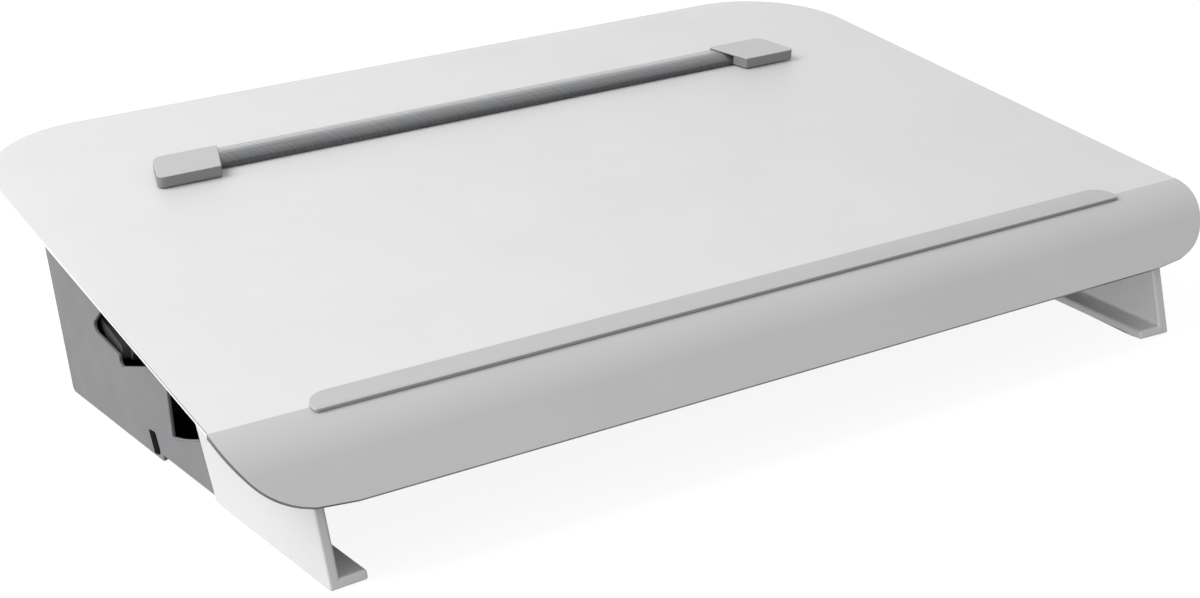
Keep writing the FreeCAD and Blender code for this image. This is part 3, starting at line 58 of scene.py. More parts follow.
# %% [markdown]
# The deck slopes, so a place on it is easiest to give by its own three numbers: x across, run up
# the slope from the line where a sheet's foot rests, and rise square to the board. One function
# turns these into the frame's coordinates. The two numbers it needs besides the slope are the
# height of the board at the paper line and how far the frame's origin lies behind that line. The
# other values here are the board's half width, its back edge, its thickness and the run at which
# it meets the front lip, all in millimetres.

# %% The deck's own coordinates
SLOPE = math.radians(7.0)
PAPER_LINE_Z = 67.5
BOARD_HALF = 254.9
BOARD_BACK = 325.2
BOARD_THICK = 1.5
SEAM = -12.0
BACK_EDGE_Y = BOARD_BACK * math.cos(SLOPE) + BOARD_THICK * math.sin(SLOPE)
SHIFT_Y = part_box("writing_board")[1][1] / MM - BACK_EDGE_Y


def deck_points(x, run, rise):
    """Metres in the frame: y = run cos a - rise sin a + shift, z = height + run sin a + rise cos a."""
    y = run * math.cos(SLOPE) - rise * math.sin(SLOPE) + SHIFT_Y
    z = PAPER_LINE_Z + run * math.sin(SLOPE) + rise * math.cos(SLOPE)
    return np.stack(np.broadcast_arrays(x, y, z), axis=-1) * MM


print("shift of the paper line, mm:", round(SHIFT_Y, 3))

# %% [markdown]
# Every surface here is a grid of points: rows along one parameter, columns along the other. The
# helper below joins such a grid into quads, closes its rows into rings where asked, and fills both
# ends with a flat polygon each. All indices are worked out as whole arrays.

# %% Grids into meshes
def link(mesh, name, material):
    """Puts a finished mesh into the scene as an object at the origin."""
    obj = bpy.data.objects.new(name, mesh)
    bpy.context.scene.collection.objects.link(obj)
    mesh.materials.append(material)
    mesh.polygons.foreach_set("use_smooth", np.full(len(mesh.polygons), True))
    return obj


def grid_mesh(name, points, wrap_columns=False, cap_rows=False):
    """Quads between neighbours of a grid of points; cap_rows fills the first and last row."""
    rows, columns = points.shape[:2]
    index = np.arange(rows * columns).reshape(rows, columns)
    upper, lower = index[:-1], index[1:]
    quads = np.stack([upper, np.roll(upper, -1, axis=1), np.roll(lower, -1, axis=1), lower], axis=-1)
    if not wrap_columns:
        quads = quads[:, :-1]
    faces = quads.reshape(-1, 4).tolist()
    if cap_rows:
        faces += [index[0, ::-1].tolist(), index[-1].tolist()]
    mesh = bpy.data.meshes.new(name)
    mesh.from_pydata(points.reshape(-1, 3).tolist(), [], faces)
    fix = bmesh.new()
    fix.from_mesh(mesh)
    bmesh.ops.remove_doubles(fix, verts=fix.verts, dist=1e-7)
    bmesh.ops.recalc_face_normals(fix, faces=fix.faces)
    fix.to_mesh(mesh)
    fix.free()
    return mesh


LEAST_R = 0.02          # a corner given as sharp is rounded by this much, so every corner has its points


def rounded_outline(corners, steps):
    """Outline with circular corners: each corner is (a, b, radius), swept in equal angles."""
    corners = np.array(corners, float)
    here = corners[:, :2]
    into = here - np.roll(here, 1, axis=0)
    out = np.roll(here, -1, axis=0) - here
    into /= np.linalg.norm(into, axis=1)[:, None]
    out /= np.linalg.norm(out, axis=1)[:, None]
    turn = np.arctan2(into[:, 0] * out[:, 1] - into[:, 1] * out[:, 0], (into * out).sum(1))
    radius = np.maximum(corners[:, 2], LEAST_R)
    reach = radius * np.tan(np.abs(turn) / 2)
    side = np.stack([-into[:, 1], into[:, 0]], 1) * np.sign(turn)[:, None]
    centre = here - into * reach[:, None] + side * radius[:, None]
    part = np.linspace(0, 1, steps)[None, :] * turn[:, None]
    cos, sin = np.cos(part), np.sin(part)
    arm = -side * radius[:, None]
    x = centre[:, :1] + arm[:, :1] * cos - arm[:, 1:] * sin
    y = centre[:, 1:] + arm[:, :1] * sin + arm[:, 1:] * cos
    normal = np.stack([-side[:, :1] * cos + side[:, 1:] * sin,
                       -side[:, :1] * sin - side[:, 1:] * cos], -1)
    outward = normal * np.sign(turn)[:, None, None]
    return np.stack([x, y], -1).reshape(-1, 2), outward.reshape(-1, 2)


def edge_roll(bottom, top, top_r, bottom_r, steps=5):
    """(inset, height) pairs up the rim of a slab: a quarter round at the bottom, one at the top."""
    turn = np.linspace(0, math.pi / 2, steps)
    low = np.stack([bottom_r * (1 - np.sin(turn)), bottom + bottom_r * (1 - np.cos(turn))], 1)
    high = np.stack([top_r * (1 - np.cos(turn)), top - top_r * (1 - np.sin(turn))], 1)
    return np.concatenate([low, high])


def rolled_slab(corners, rim, steps):
    """Rim grid: the outline moved inwards along its normals by each inset, at each height."""
    outline, outward = rounded_outline(corners, steps)
    flat = outline[None] - outward[None] * rim[:, 0, None, None]
    height = np.broadcast_to(rim[:, 1, None], flat.shape[:2])
    return flat[..., 0], flat[..., 1], height


print("grid helpers ready")

# %% [markdown]
# A node-based material is a small circuit. One function adds a node with its settings and links
# in a single line, and one turns the hex values that artists write into the linear numbers that
# the renderer adds up: values up to 0.04045 are divided by 12.92, the rest follow a power of 2.4.

# %% Material helpers
def linear(code):
    """Linear RGBA from an sRGB hex value."""
    values = [int(code[i:i + 2], 16) / 255 for i in (1, 3, 5)]
    return tuple(v / 12.92 if v <= 0.04045 else ((v + 0.055) / 1.055) ** 2.4 for v in values) + (1.0,)


def add(tree, kind, links=None, **settings):
    """Adds one node: settings name attributes or, with a leading underscore, input sockets."""
    node = tree.nodes.new(kind)
    for key, value in settings.items():
        if key.startswith("_"):
            name = key[1:].replace("_", " ")
            node.inputs[int(name) if name.isdigit() else name].default_value = value
        else:
            setattr(node, key, value)
    for socket, source in (links or {}).items():
        tree.links.new(source, node.inputs[socket])
    return node


def finish(name, roughness, metallic=0.0, ior=1.5, sheen=0.0):
    """A material with one Principled shader; returns the material, its tree, shader and coordinates."""
    material = bpy.data.materials.new(name)
    material.use_nodes = True
    tree = material.node_tree
    shader = tree.nodes["Principled BSDF"]
    shader.inputs["Roughness"].default_value = roughness
    shader.inputs["Metallic"].default_value = metallic
    shader.inputs["IOR"].default_value = ior
    shader.inputs["Sheen Weight"].default_value = sheen
    place = add(tree, "ShaderNodeTexCoord").outputs["Object"]
    return material, tree, shader, place


def colour_drift(tree, shader, place, low, high, size_mm):
    """Base colour drifts between two hex values over patches of the given size."""
    patches = add(tree, "ShaderNodeTexNoise", {"Vector": place}, _Scale=1 / (size_mm * MM), _Detail=2.0)
    mix = add(tree, "ShaderNodeMix", {"Factor": patches.outputs["Fac"]}, data_type="RGBA")
    mix.inputs[6].default_value, mix.inputs[7].default_value = linear(low), linear(high)
    tree.links.new(mix.outputs[2], shader.inputs["Base Color"])


def grain_bump(tree, shader, place, size_mm, depth_mm, strength=0.3, detail=2.0):
    """Bump of fine grains: the noise repeats about once per size, and is depth deep."""
    grains = add(tree, "ShaderNodeTexNoise", {"Vector": place}, _Scale=1 / (size_mm * MM), _Detail=detail)
    bump = add(tree, "ShaderNodeBump", {"Height": grains.outputs["Fac"]}, _Strength=strength,
               _Distance=depth_mm * MM)
    tree.links.new(bump.outputs["Normal"], shader.inputs["Normal"])


def noise_between(tree, noise, low, high):
    """The usual range of a noise, 0.3 to 0.7, stretched to run from low to high."""
    return add(tree, "ShaderNodeMapRange", {"Value": noise.outputs["Fac"]}, _From_Min=0.3, _From_Max=0.7,
               _To_Min=low, _To_Max=high).outputs["Result"]


def roughness_drift(tree, shader, place, low, high, size_mm):
    """Roughness wanders between two values, as handled plastic does."""
    patches = add(tree, "ShaderNodeTexNoise", {"Vector": place}, _Scale=1 / (size_mm * MM), _Detail=3.0)
    tree.links.new(noise_between(tree, patches, low, high), shader.inputs["Roughness"])


def moulded(name, low, high, roughness, grain_mm=1.1, depth_mm=0.05, drift_mm=60):
    """Spark-eroded ABS: pale patches, a fine pebble grain, and a roughness that wanders a little."""
    material, tree, shader, place = finish(name, roughness, ior=1.53)
    colour_drift(tree, shader, place, low, high, drift_mm)
    grain_bump(tree, shader, place, grain_mm, depth_mm)
    roughness_drift(tree, shader, place, roughness - 0.05, roughness + 0.05, drift_mm / 3)
    return material


print("material helpers ready")

# %% [markdown]
# Most of the stand is moulded ABS, a tough plastic that takes the grain of its steel mould. Each
# colour is one moulding, so each gets its own material. The board is smoother than the rest,
# because pens and paper run over it. Grains of real moulds are near 0.1 mm; they are drawn about
# 1 mm apart here, because anything finer disappears at this distance. The black plastic is
# unpolished and porous, which swallows most of its gloss, so its specular level is low. The
# board's cut edge is painted a brighter white than its face, a painted highlight along its rim.

# %% Plastics
board_white = moulded("satin_white_abs_board", "#DFDFDF", "#E6E6E6", 0.45, grain_mm=1.4, depth_mm=0.02)
lip_grey = moulded("light_grey_abs_lip", "#C5C5C5", "#CCCCCC", 0.42, grain_mm=1.2, depth_mm=0.03)
trim_grey = moulded("mid_grey_abs_trim", "#BBBBBB", "#C2C2C2", 0.40, grain_mm=1.0, depth_mm=0.04)
frame_white = moulded("white_abs_feet", "#E4E4E4", "#EBEBEB", 0.45)
frame_grey = moulded("grey_abs_side_panels", "#79797B", "#808082", 0.5)
drawer_grey = moulded("grey_abs_drawer", "#8A8C90", "#929498", 0.46)
lever_grey = moulded("dark_grey_acetal_lever", "#363638", "#3E3E40", 0.6, depth_mm=0.03)
plain_black = moulded("black_moulded_insert", "#0C0C0D", "#121213", 0.8, depth_mm=0.03)
plain_black.node_tree.nodes["Principled BSDF"].inputs["Specular IOR Level"].default_value = 0.05
# Painted highlight: a brighter white for the rim of the board than for its face.
board_rim_painted_highlight = moulded("painted_highlight_on_board_rim", "#F8F8F8", "#FCFCFC", 0.35, depth_mm=0.01)
print("mouldings, from", board_white.name, "to", board_rim_painted_highlight.name)

# %% [markdown]
# Powder coat is sprayed on dry and baked, and its skin keeps a soft orange peel of a millimetre
# or two. The screws, pins and springs are zinc plated and the magnets nickel plated, so they keep
# their colour in the reflection.

# %% Coated and plated steel
powder_black, tree, shader, place = finish("black_powder_coat_steel", 0.5)
colour_drift(tree, shader, place, "#101012", "#19191B", 40)
grain_bump(tree, shader, place, 1.8, 0.08, 0.35)

zinc, tree, shader, place = finish("zinc_plated_steel", 0.3, metallic=1.0)
colour_drift(tree, shader, place, "#A8AAAE", "#C4C6C8", 3)
grain_bump(tree, shader, place, 0.6, 0.02, 0.2)

nickel, tree, shader, place = finish("nickel_plated_magnet", 0.15, metallic=1.0)
colour_drift(tree, shader, place, "#B8BABC", "#C8CACC", 5)
print("coated and plated:", powder_black.name, zinc.name, nickel.name)

# %% [markdown]
# The guide's bar is drawn aluminium, satin anodised. Its flat back is plain, and its front slope is
# knurled with fine slanting ribs; its colour runs from dark at the front to light at the back across
# the section, painted shade on the slope. The ribs are drawn as noise along one slanting measure,
# and the marks of drawing as noise that is stretched along the bar. The two together darken or lighten
# the ramp.

# %% Anodised bar
GUIDE_RUN = 232.0                       # where the guide stands on the deck
BAR_FRONT, BAR_BACK = -3.8, 12.0        # its bar, before and behind that line
ORIGIN_RUN = SHIFT_Y * math.cos(SLOPE) + PAPER_LINE_Z * math.sin(SLOPE)
# Painted shade: the darkest colour at the front slope, the plain colour at the flat back.
BAR_PAINTED_SHADE, BAR_LIGHTEST = "#565759", "#C8C9CA"        # at its front and at its back
PAINTED_SHADE_ACROSS_BAR = ((0.35, "#808183"), (0.62, "#98999A"), (0.72, "#B8B9BA"))
MARK_MM, MARK_STRETCH = 0.9, 0.02       # a drawing mark's width, and how much it is drawn out
RIB_SLANT, RIB_FINENESS = 0.41, 0.8

anodised, tree, shader, place = finish("satin_anodised_aluminium_bar_painted_shade", 0.36, metallic=0.6)
up_slope = add(tree, "ShaderNodeVectorMath", {0: place}, operation="DOT_PRODUCT",
               _1=(0.0, math.cos(SLOPE) / MM, math.sin(SLOPE) / MM))
section_run = add(tree, "ShaderNodeMath", {0: up_slope.outputs["Value"]}, operation="SUBTRACT",
                  _1=GUIDE_RUN + ORIGIN_RUN)
part_way = add(tree, "ShaderNodeMapRange", {"Value": section_run.outputs["Value"]}, _From_Min=BAR_FRONT,
               _From_Max=BAR_BACK)
# Painted shade: this ramp runs from dark at the front slope to light at the flat back.
ramp = add(tree, "ShaderNodeValToRGB", {"Fac": part_way.outputs["Result"]})
stops = ramp.color_ramp.elements
for spot, code in PAINTED_SHADE_ACROSS_BAR:
    stops.new(spot).color = linear(code)
stops[0].color, stops[-1].color = linear(BAR_PAINTED_SHADE), linear(BAR_LIGHTEST)
drawn = add(tree, "ShaderNodeMapping", {"Vector": place}, _Scale=(MARK_STRETCH, 1.0, 1.0))
lines = add(tree, "ShaderNodeTexNoise", {"Vector": drawn.outputs["Vector"]}, _Scale=1 / (MARK_MM * MM),
            _Detail=2.0)
marks = noise_between(tree, lines, 0.85, 1.12)
crosswise = add(tree, "ShaderNodeVectorMath", {0: place}, operation="DOT_PRODUCT",
                _1=(1 / MM, RIB_SLANT * math.cos(SLOPE) / MM, RIB_SLANT * math.sin(SLOPE) / MM))
ribs = add(tree, "ShaderNodeTexNoise", {"W": crosswise.outputs["Value"]}, noise_dimensions="1D",
           _Scale=RIB_FINENESS, _Detail=1.0)
knurl = noise_between(tree, ribs, 0.84, 1.14)
both = add(tree, "ShaderNodeMath", {0: marks, 1: knurl}, operation="MULTIPLY")
shade = add(tree, "ShaderNodeVectorMath", {0: ramp.outputs["Color"], 1: both.outputs["Value"]},
            operation="MULTIPLY")
tree.links.new(shade.outputs["Vector"], shader.inputs["Base Color"])
bump = add(tree, "ShaderNodeBump", {"Height": lines.outputs["Fac"]}, _Strength=0.3, _Distance=0.05 * MM)
tree.links.new(bump.outputs["Normal"], shader.inputs["Normal"])
print("colour stops across the bar:", len(stops))

# %% [markdown]
# Rubber and felt scatter light instead of shining: the rubber has a fine dull skin, and the felt's
# loose fibres catch a little light at its edges.

# %% Rubber and felt
rubber, tree, shader, place = finish("black_rubber", 0.8, ior=1.52)
colour_drift(tree, shader, place, "#121212", "#1C1C1C", 10)
grain_bump(tree, shader, place, 0.8, 0.06, 0.4)

felt, tree, shader, place = finish("grey_pressed_felt", 0.95, sheen=0.4)
colour_drift(tree, shader, place, "#4C4F53", "#606468", 1.5)
grain_bump(tree, shader, place, 0.5, 0.2, 0.6, detail=5.0)
print("soft materials:", rubber.name, felt.name)

# %% [markdown]
# Each node of the frame names a material slot, and each slot has one finish. Every solid gets its
# finish here, also those that a new piece replaces later.

# %% A finish for each node
FINISH = {"white_board": board_white, "grey_lip": lip_grey, "grey_trim": trim_grey,
          "white_frame": frame_white, "grey_frame": frame_grey, "grey_drawer": drawer_grey,
          "black_plastic": plain_black, "grey_lever": lever_grey, "black_steel": powder_black,
          "guide_aluminium": anodised, "zinc_screws": zinc, "magnet_plating": nickel,
          "black_rubber": rubber, "grey_felt": felt}
SLOT_OF = {part["node"]: part["material_slot"] for part in frame["record"]["subparts"]}
BODY_OF = {node: body for body, nodes in frame["record"]["behaviour"]["bodies"].items() for node in nodes}
for node, obj in frame["nodes"].items():
    obj.data.materials.clear()
    obj.data.materials.append(FINISH[SLOT_OF[node]])
print("finishes:", len(FINISH))

# %% [markdown]
# A new piece stands for a node of the frame: it hides that node, rides on the same body and takes
# the same finish, so all three are done by one function.

# %% Standing in for a node
def in_finish(mesh, node, name=None):
    """Links a mesh in the node's finish; it replaces the node, rides on its body, keeps its slot."""
    obj = link(mesh, name or node + "_surface", FINISH[SLOT_OF[node]])
    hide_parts(node)
    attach(obj, BODY_OF[node])
    return obj


print("ready to dress", len(BODY_OF), "nodes")

# %% [markdown]
# ** The writing board** is one 1.5 mm sheet with two big round rear corners. A cut sheet has a small
# roll along its edge where the cutter and a hand have taken off the sharpness, and that thin
# bright line is what tells the eye it is plastic and not card; the rim's faces also take a brighter
# white, a painted highlight. The rim is a profile of insets and heights carried round the outline,
# and the flat faces close it.

# %% Writing board
BOARD_CORNER_R = 60.0
FACE_COSINE = 0.8       # polygons that look less straight up or down than this belong to the rim
rim = edge_roll(-BOARD_THICK, 0.0, top_r=0.5, bottom_r=0.4)
corners = [(-BOARD_HALF, SEAM, 0), (BOARD_HALF, SEAM, 0), (BOARD_HALF, BOARD_BACK, BOARD_CORNER_R),
           (-BOARD_HALF, BOARD_BACK, BOARD_CORNER_R)]
x, run, rise = rolled_slab(corners, rim, steps=40)
run[:, run.min(axis=0) <= SEAM] = SEAM          # the front edge butts against the lip, so it isn't rolled
board = in_finish(grid_mesh("board", deck_points(x, run, rise), wrap_columns=True, cap_rows=True),
                  "writing_board")
# The rim faces take the brighter white, a painted highlight along the board's edge.
board.data.materials.append(board_rim_painted_highlight)
normals = np.empty(3 * len(board.data.polygons))
board.data.polygons.foreach_get("normal", normals)
upward = normals.reshape(-1, 3) @ np.array([0, -math.sin(SLOPE), math.cos(SLOPE)])
board.data.polygons.foreach_set("material_index", (np.abs(upward) < FACE_COSINE).astype(np.int32))
print("board faces:", len(board.data.polygons))

# %% [markdown]
# ** The front lip** is a thin moulded shell that carries the board's surface on, bends down through
# 42 degrees and ends in a short straight skirt. Seen square to the board its corners are a little
# fuller than quarter ellipses. Its outer face is a surface of two parameters: the path down the
# bend and the way across. Solidify gives it the wall of the moulding, and the rim of that wall, which
# faces down, is painted a dark grey as painted shade. Bevel gives it the small radius of a mould's
# parting edge. The tongue that laps under the board is a plain slab.

# %% Front lip
LIP_R, LIP_TURN, LIP_FLAT, LIP_CORNER = 37.0, math.radians(42), 19.3, 46.0
LIP_END = SEAM - LIP_R * math.sin(LIP_TURN) - LIP_FLAT * math.cos(LIP_TURN)
LIP_FULLNESS, LIP_WALL = 2.6, 2.4
SHARP_DEG = 30          # an edge that turns by more than this is sharp


def lip_surface(rows=40, flat_rows=12, columns=121):
    """An arc (run = seam - R sin t, rise = R cos t - R), then a straight line down the skirt.

    The half width falls by the corner's width times 1 - (1 - g^n)^(1/n), where g is the part of the
    run that is gone and n is the fullness: 2 would be a quarter ellipse.
    """
    t = np.linspace(0, LIP_TURN, rows)
    s = np.linspace(0, LIP_FLAT, flat_rows)[1:]
    run = np.concatenate([SEAM - LIP_R * np.sin(t),
                          SEAM - LIP_R * np.sin(LIP_TURN) - s * np.cos(LIP_TURN)])
    rise = np.concatenate([LIP_R * np.cos(t) - LIP_R,
                           LIP_R * np.cos(LIP_TURN) - LIP_R - s * np.sin(LIP_TURN)])
    gone = np.clip((SEAM - run) / (SEAM - LIP_END), 0, 1)
    half = BOARD_HALF - LIP_CORNER * (1 - (1 - gone ** LIP_FULLNESS) ** (1 / LIP_FULLNESS))
    across = np.sin(np.linspace(-math.pi / 2, math.pi / 2, columns))
    return deck_points(half[:, None] * across[None], run[:, None], rise[:, None])


def bevelled(obj, width_mm, segments=3):
    """A bevel on every edge sharper than the angle; normals weighted by area keep the flats flat."""
    edge = obj.modifiers.new("edge", "BEVEL")
    edge.width, edge.segments = width_mm * MM, segments
    edge.limit_method, edge.angle_limit = "ANGLE", math.radians(SHARP_DEG)
    weight = obj.modifiers.new("weight", "WEIGHTED_NORMAL")
    weight.keep_sharp = True


lip = in_finish(grid_mesh("lip", lip_surface()), "front_lip")
wall = lip.modifiers.new("wall", "SOLIDIFY")
wall.thickness, wall.offset, wall.material_offset_rim = LIP_WALL * MM, -1.0, 1
# Painted shade: the rim of the wall, which faces down, takes a dark grey.
lip.data.materials.append(moulded("painted_shade_abs_lip_rim", "#5E5E5E", "#666666", 0.5))
bevelled(lip, 0.2)
TONGUE_HALF, TONGUE_BACK, TONGUE_THICK = 213.7, 8.0, 2.5
x, run, rise = rolled_slab([(-TONGUE_HALF, SEAM - TONGUE_THICK, 0), (TONGUE_HALF, SEAM - TONGUE_THICK, 0),
                            (TONGUE_HALF, TONGUE_BACK, 1), (-TONGUE_HALF, TONGUE_BACK, 1)],
                           edge_roll(-BOARD_THICK - TONGUE_THICK, -BOARD_THICK, 0.2, 0.2), steps=4)
tongue = grid_mesh("tongue", deck_points(x, run, rise), wrap_columns=True, cap_rows=True)
in_finish(tongue, "front_lip", "lip_tongue")
print("lip rows down the path:", len(lip_surface()))

# %% [markdown]
# ** The document ledge** is a low strip that stops a sheet from sliding off. It was moulded apart
# and pressed in, so it has its own crisp front edge and two round back corners. It stands 1.5 mm
# proud, and its wall is painted darker than its top as painted shade, so its front reads as a
# dark line. One function paints such a change of tone at a height on a piece on the deck.

# %% Document ledge
def by_rise(material, low_mm, codes):
    """Painted shade: one base colour below a rise over the board and another above it, for a piece that
    rides on the deck.
    """
    tree = material.node_tree
    place = add(tree, "ShaderNodeTexCoord").outputs["Object"]
    height = add(tree, "ShaderNodeVectorMath", {0: place}, operation="DOT_PRODUCT",
                 _1=(0.0, -math.sin(SLOPE) / MM, math.cos(SLOPE) / MM))
    base = PAPER_LINE_Z * math.cos(SLOPE) - SHIFT_Y * math.sin(SLOPE) + low_mm
    above = add(tree, "ShaderNodeMath", {0: height.outputs["Value"]}, operation="GREATER_THAN", _1=base)
    mix = add(tree, "ShaderNodeMix", {"Factor": above.outputs["Value"]}, data_type="RGBA")
    mix.inputs[6].default_value, mix.inputs[7].default_value = linear(codes[0]), linear(codes[1])
    tree.links.new(mix.outputs[2], tree.nodes["Principled BSDF"].inputs["Base Color"])
    return material


LEDGE_HALF, LEDGE_FRONT, LEDGE_BACK, LEDGE_HEIGHT = 212.0, -17.5, -4.0, 1.5
LEDGE_SUNK, LEDGE_EDGE_R = 0.4, 0.3
x, run, rise = rolled_slab([(-LEDGE_HALF, LEDGE_FRONT, 2), (LEDGE_HALF, LEDGE_FRONT, 2),
                            (LEDGE_HALF, LEDGE_BACK, 10), (-LEDGE_HALF, LEDGE_BACK, 10)],
                           edge_roll(-LEDGE_SUNK, LEDGE_HEIGHT, LEDGE_EDGE_R, 0.0), steps=20)
ledge = in_finish(grid_mesh("ledge", deck_points(x, run, rise), wrap_columns=True, cap_rows=True),
                  "document_ledge")
ledge_grey = moulded("abs_ledge_with_painted_shade_wall", "#BBBBBB", "#C2C2C2", 0.4)
# Painted shade: below its rounded top edge the ledge's wall takes a darker grey.
ledge.data.materials[0] = by_rise(ledge_grey, LEDGE_HEIGHT - LEDGE_EDGE_R, ("#A0A0A1", "#C0C0C0"))
print("ledge at", LEDGE_FRONT, "to", LEDGE_BACK, "mm")

# %% [markdown]
# **The line guide's bar** is an aluminium extrusion: one section, the same all the way along, flat
# at the back and falling towards the front like a ruler. A section is a closed outline in run and
# rise, and the bar is that outline at both ends with quads between.

# %% Guide bar
GUIDE_RISE, BAR_HALF = 0.9, 172.0
BAR_TOP, BAR_NOSE, BEND_RUN = 4.5, 2.5, 3.5     # height of its back and front, where its fall begins
BAR_SHARP_DEG = 40
section = rounded_outline([(BAR_FRONT, 0, 0.2), (BAR_BACK, 0, 0.2), (BAR_BACK, BAR_TOP, 0.8),
                           (BEND_RUN, BAR_TOP, 9.0), (BAR_FRONT, BAR_NOSE, 1.0)], steps=9)[0]
ends = np.linspace(-BAR_HALF, BAR_HALF, 33)[:, None]
points = deck_points(ends, GUIDE_RUN + section[None, :, 0], GUIDE_RISE + section[None, :, 1])
bar = in_finish(grid_mesh("bar", points, wrap_columns=True, cap_rows=True), "guide_bar")
bar.data.set_sharp_from_angle(angle=math.radians(BAR_SHARP_DEG))
print("points round the bar:", len(section))

# %% [markdown]
# ** Everything that was moulded, folded or stamped** has an edge radius, 1.1 mm on the thick feet
# and 0.2 or 0.3 mm on the folded steel. The frame's solids have the right shape but knife edges,
# and a knife edge catches no light. Each such piece is therefore a copy of its solid: doubles are
# merged, the triangles of a flat face are joined to one polygon again, and a bevel rounds what is
# sharp. Short edges at the arcs of the feet and the side panels would hold that bevel back to almost
# nothing, so its limit on overlaps is off there. The guide's caps are pale on top and painted darker
# below, painted shade on their sides.

# %% Pieces with softened edges
EDGE_MM = {"foot": 1.1, "side_panel": 0.4, "release_lever": 0.5, "guide_cap": 0.3,
           "drawer_front": 0.8, "drawer_tray": 0.5, "pen_tray": 0.5, "drawer_divider": 0.4,
           "cross_divider": 0.4, "drawer_glides": 0.4, "side_plate": 0.3, "quadrant": 0.4,
           "side_rail": 0.2, "hinge_ear": 0.4, "drawer_runner": 0.2, "front_beam": 0.2,
           "rear_beam": 0.2, "base_pan": 0.3, "rear_wall": 0.3, "rear_skid": 0.6, "rubber_pads": 0.3,
           "rest_bumpers": 0.6}
FULL_WIDTH = ("foot", "side_panel")     # the bevel keeps its whole width on these
CAP_SHADE_RISE = 6.25                   # below this rise the cap's sides are painted darker, as painted shade


def softened(node, width_mm):
    """The node's solid with merged doubles, whole flat faces and a rounded edge."""
    mesh = frame["nodes"][node].data.copy()
    mesh.name = node + "_soft"
    mesh.materials.clear()
    fix = bmesh.new()
    fix.from_mesh(mesh)
    bmesh.ops.remove_doubles(fix, verts=fix.verts, dist=1e-6)
    bmesh.ops.dissolve_limit(fix, angle_limit=math.radians(0.1), verts=fix.verts, edges=fix.edges)
    bmesh.ops.recalc_face_normals(fix, faces=fix.faces)
    fix.to_mesh(mesh)
    fix.free()
    obj = in_finish(mesh, node)
    mesh.set_sharp_from_angle(angle=math.radians(SHARP_DEG))
    bevelled(obj, width_mm, segments=5 if width_mm > 1 else 2)
    obj.modifiers["edge"].use_clamp_overlap = not node.endswith(FULL_WIDTH)
    return obj


# Painted shade: below the given rise the cap's sides take a darker grey than its top.
cap_grey = by_rise(moulded("abs_guide_cap_with_painted_shade_sides", "#BBBBBB", "#C2C2C2", 0.4), CAP_SHADE_RISE,
                   ("#7C7C7E", "#C2C2C2"))
for kind, width in EDGE_MM.items():
    for node in ([kind] if kind in frame["nodes"] else ["left_" + kind, "right_" + kind]):
        piece = softened(node, width)
        if kind == "guide_cap":
            piece.data.materials[0] = cap_grey
print("softened:", len(EDGE_MM), "kinds of piece")

# %% [markdown]
# **The step above the low strip.** Behind each foot the side panel is a low strip, and the strip's
# top line runs on into the tall part and fades out there. The moulding has a small round bead along
# that line, and it is the one place on the grey side that catches the lamp. A bead is a circle
# carried along a curve; its radius fades to nothing at the back end.

# %% Bead along the low strip
SIDES = ((-1, "left"), (1, "right"))
FOOT_X, FOOT_Y, SPLAY = 223.3, -42.8, math.tan(math.radians(3.87))     # the side splays towards the back
STRIP_TOP_Y, STRIP_TOP_Z = (72.5, 102.6, 147.0), (26.6, 17.6, 12.4)    # three places on its top line
BEAD_R, BEAD_SUNK, BEAD_DROP = 0.55, 0.2, 0.3


def strip_bead(side, steps=80, around=12):
    """Parabola through the strip's three heights; circle radius R sqrt(1 - t^4) about it.

    t stops just short of 1, where the circle would shrink to a point.
    """
    t = np.linspace(0, 0.999, steps)
    y = STRIP_TOP_Y[0] + t * (STRIP_TOP_Y[-1] - STRIP_TOP_Y[0])
    z = np.polyval(np.polyfit(STRIP_TOP_Y, STRIP_TOP_Z, 2), y)
    radius = BEAD_R * np.sqrt(1 - t ** 4)
    face = FOOT_X + (y - FOOT_Y) * SPLAY
    turn = np.linspace(0, 2 * math.pi, around, endpoint=False)
    x = side * (face[:, None] - BEAD_SUNK + radius[:, None] * np.cos(turn))
    up = z[:, None] - BEAD_DROP + radius[:, None] * np.sin(turn)
    return np.stack(np.broadcast_arrays(x, y[:, None] + SHIFT_Y, up), axis=-1) * MM


for side, name in SIDES:
    bead = link(grid_mesh(name + "_bead", strip_bead(side), wrap_columns=True, cap_rows=True),
                name + "_strip_bead", frame_grey)
    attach(bead, "base")
print("bead radius, mm:", BEAD_R)

# %% [markdown]
# ** The slot in the low strip** is filled by a black strip that leans with it: a dark sheet that
# stands in for the shade inside the slot, painted shade. The strip is a little larger than the slot
# and its rim lies on the panel's face. Its outline is drawn on the splayed face and given a
# thickness square to the stand's middle.

# %% Black strip in the slot
SLOT_OUTLINE = [(118.6, 3.6, 1.2), (125.8, 1.4, 1.2), (129.9, 12.4, 1.2), (123.2, 13.8, 1.2)]
outline, outward = rounded_outline(SLOT_OUTLINE, steps=8)
profile = np.array([(0.0, -0.9), (0.0, 0.0), (0.08, 0.1), (0.2, 0.14)])    # inset, height off the face
y, z = (outline[None] - outward[None] * profile[:, 0, None, None]).transpose(2, 0, 1)
face = FOOT_X + (y - FOOT_Y) * SPLAY + profile[:, 1, None]
# Painted shade: the black strip fills the slot where only shade would be.
for side, name in SIDES:
    points = np.stack([side * face, y + SHIFT_Y, z], axis=-1) * MM
    in_finish(grid_mesh(name + "_strip", points, wrap_columns=True, cap_rows=True), "slit_inserts",
              name + "_slit_painted_shade_strip")
print("slot strip, mm:", SLOT_OUTLINE[0][:2], "to", SLOT_OUTLINE[2][:2])

# %% [markdown]
# **The camera** stands where a person at the desk's corner would hold one: half a metre to the
# left of the middle, three quarters of a metre in front of the paper line and nearly 40 cm up. Its
# three axes are written out, because the view is tilted a little as well as turned.

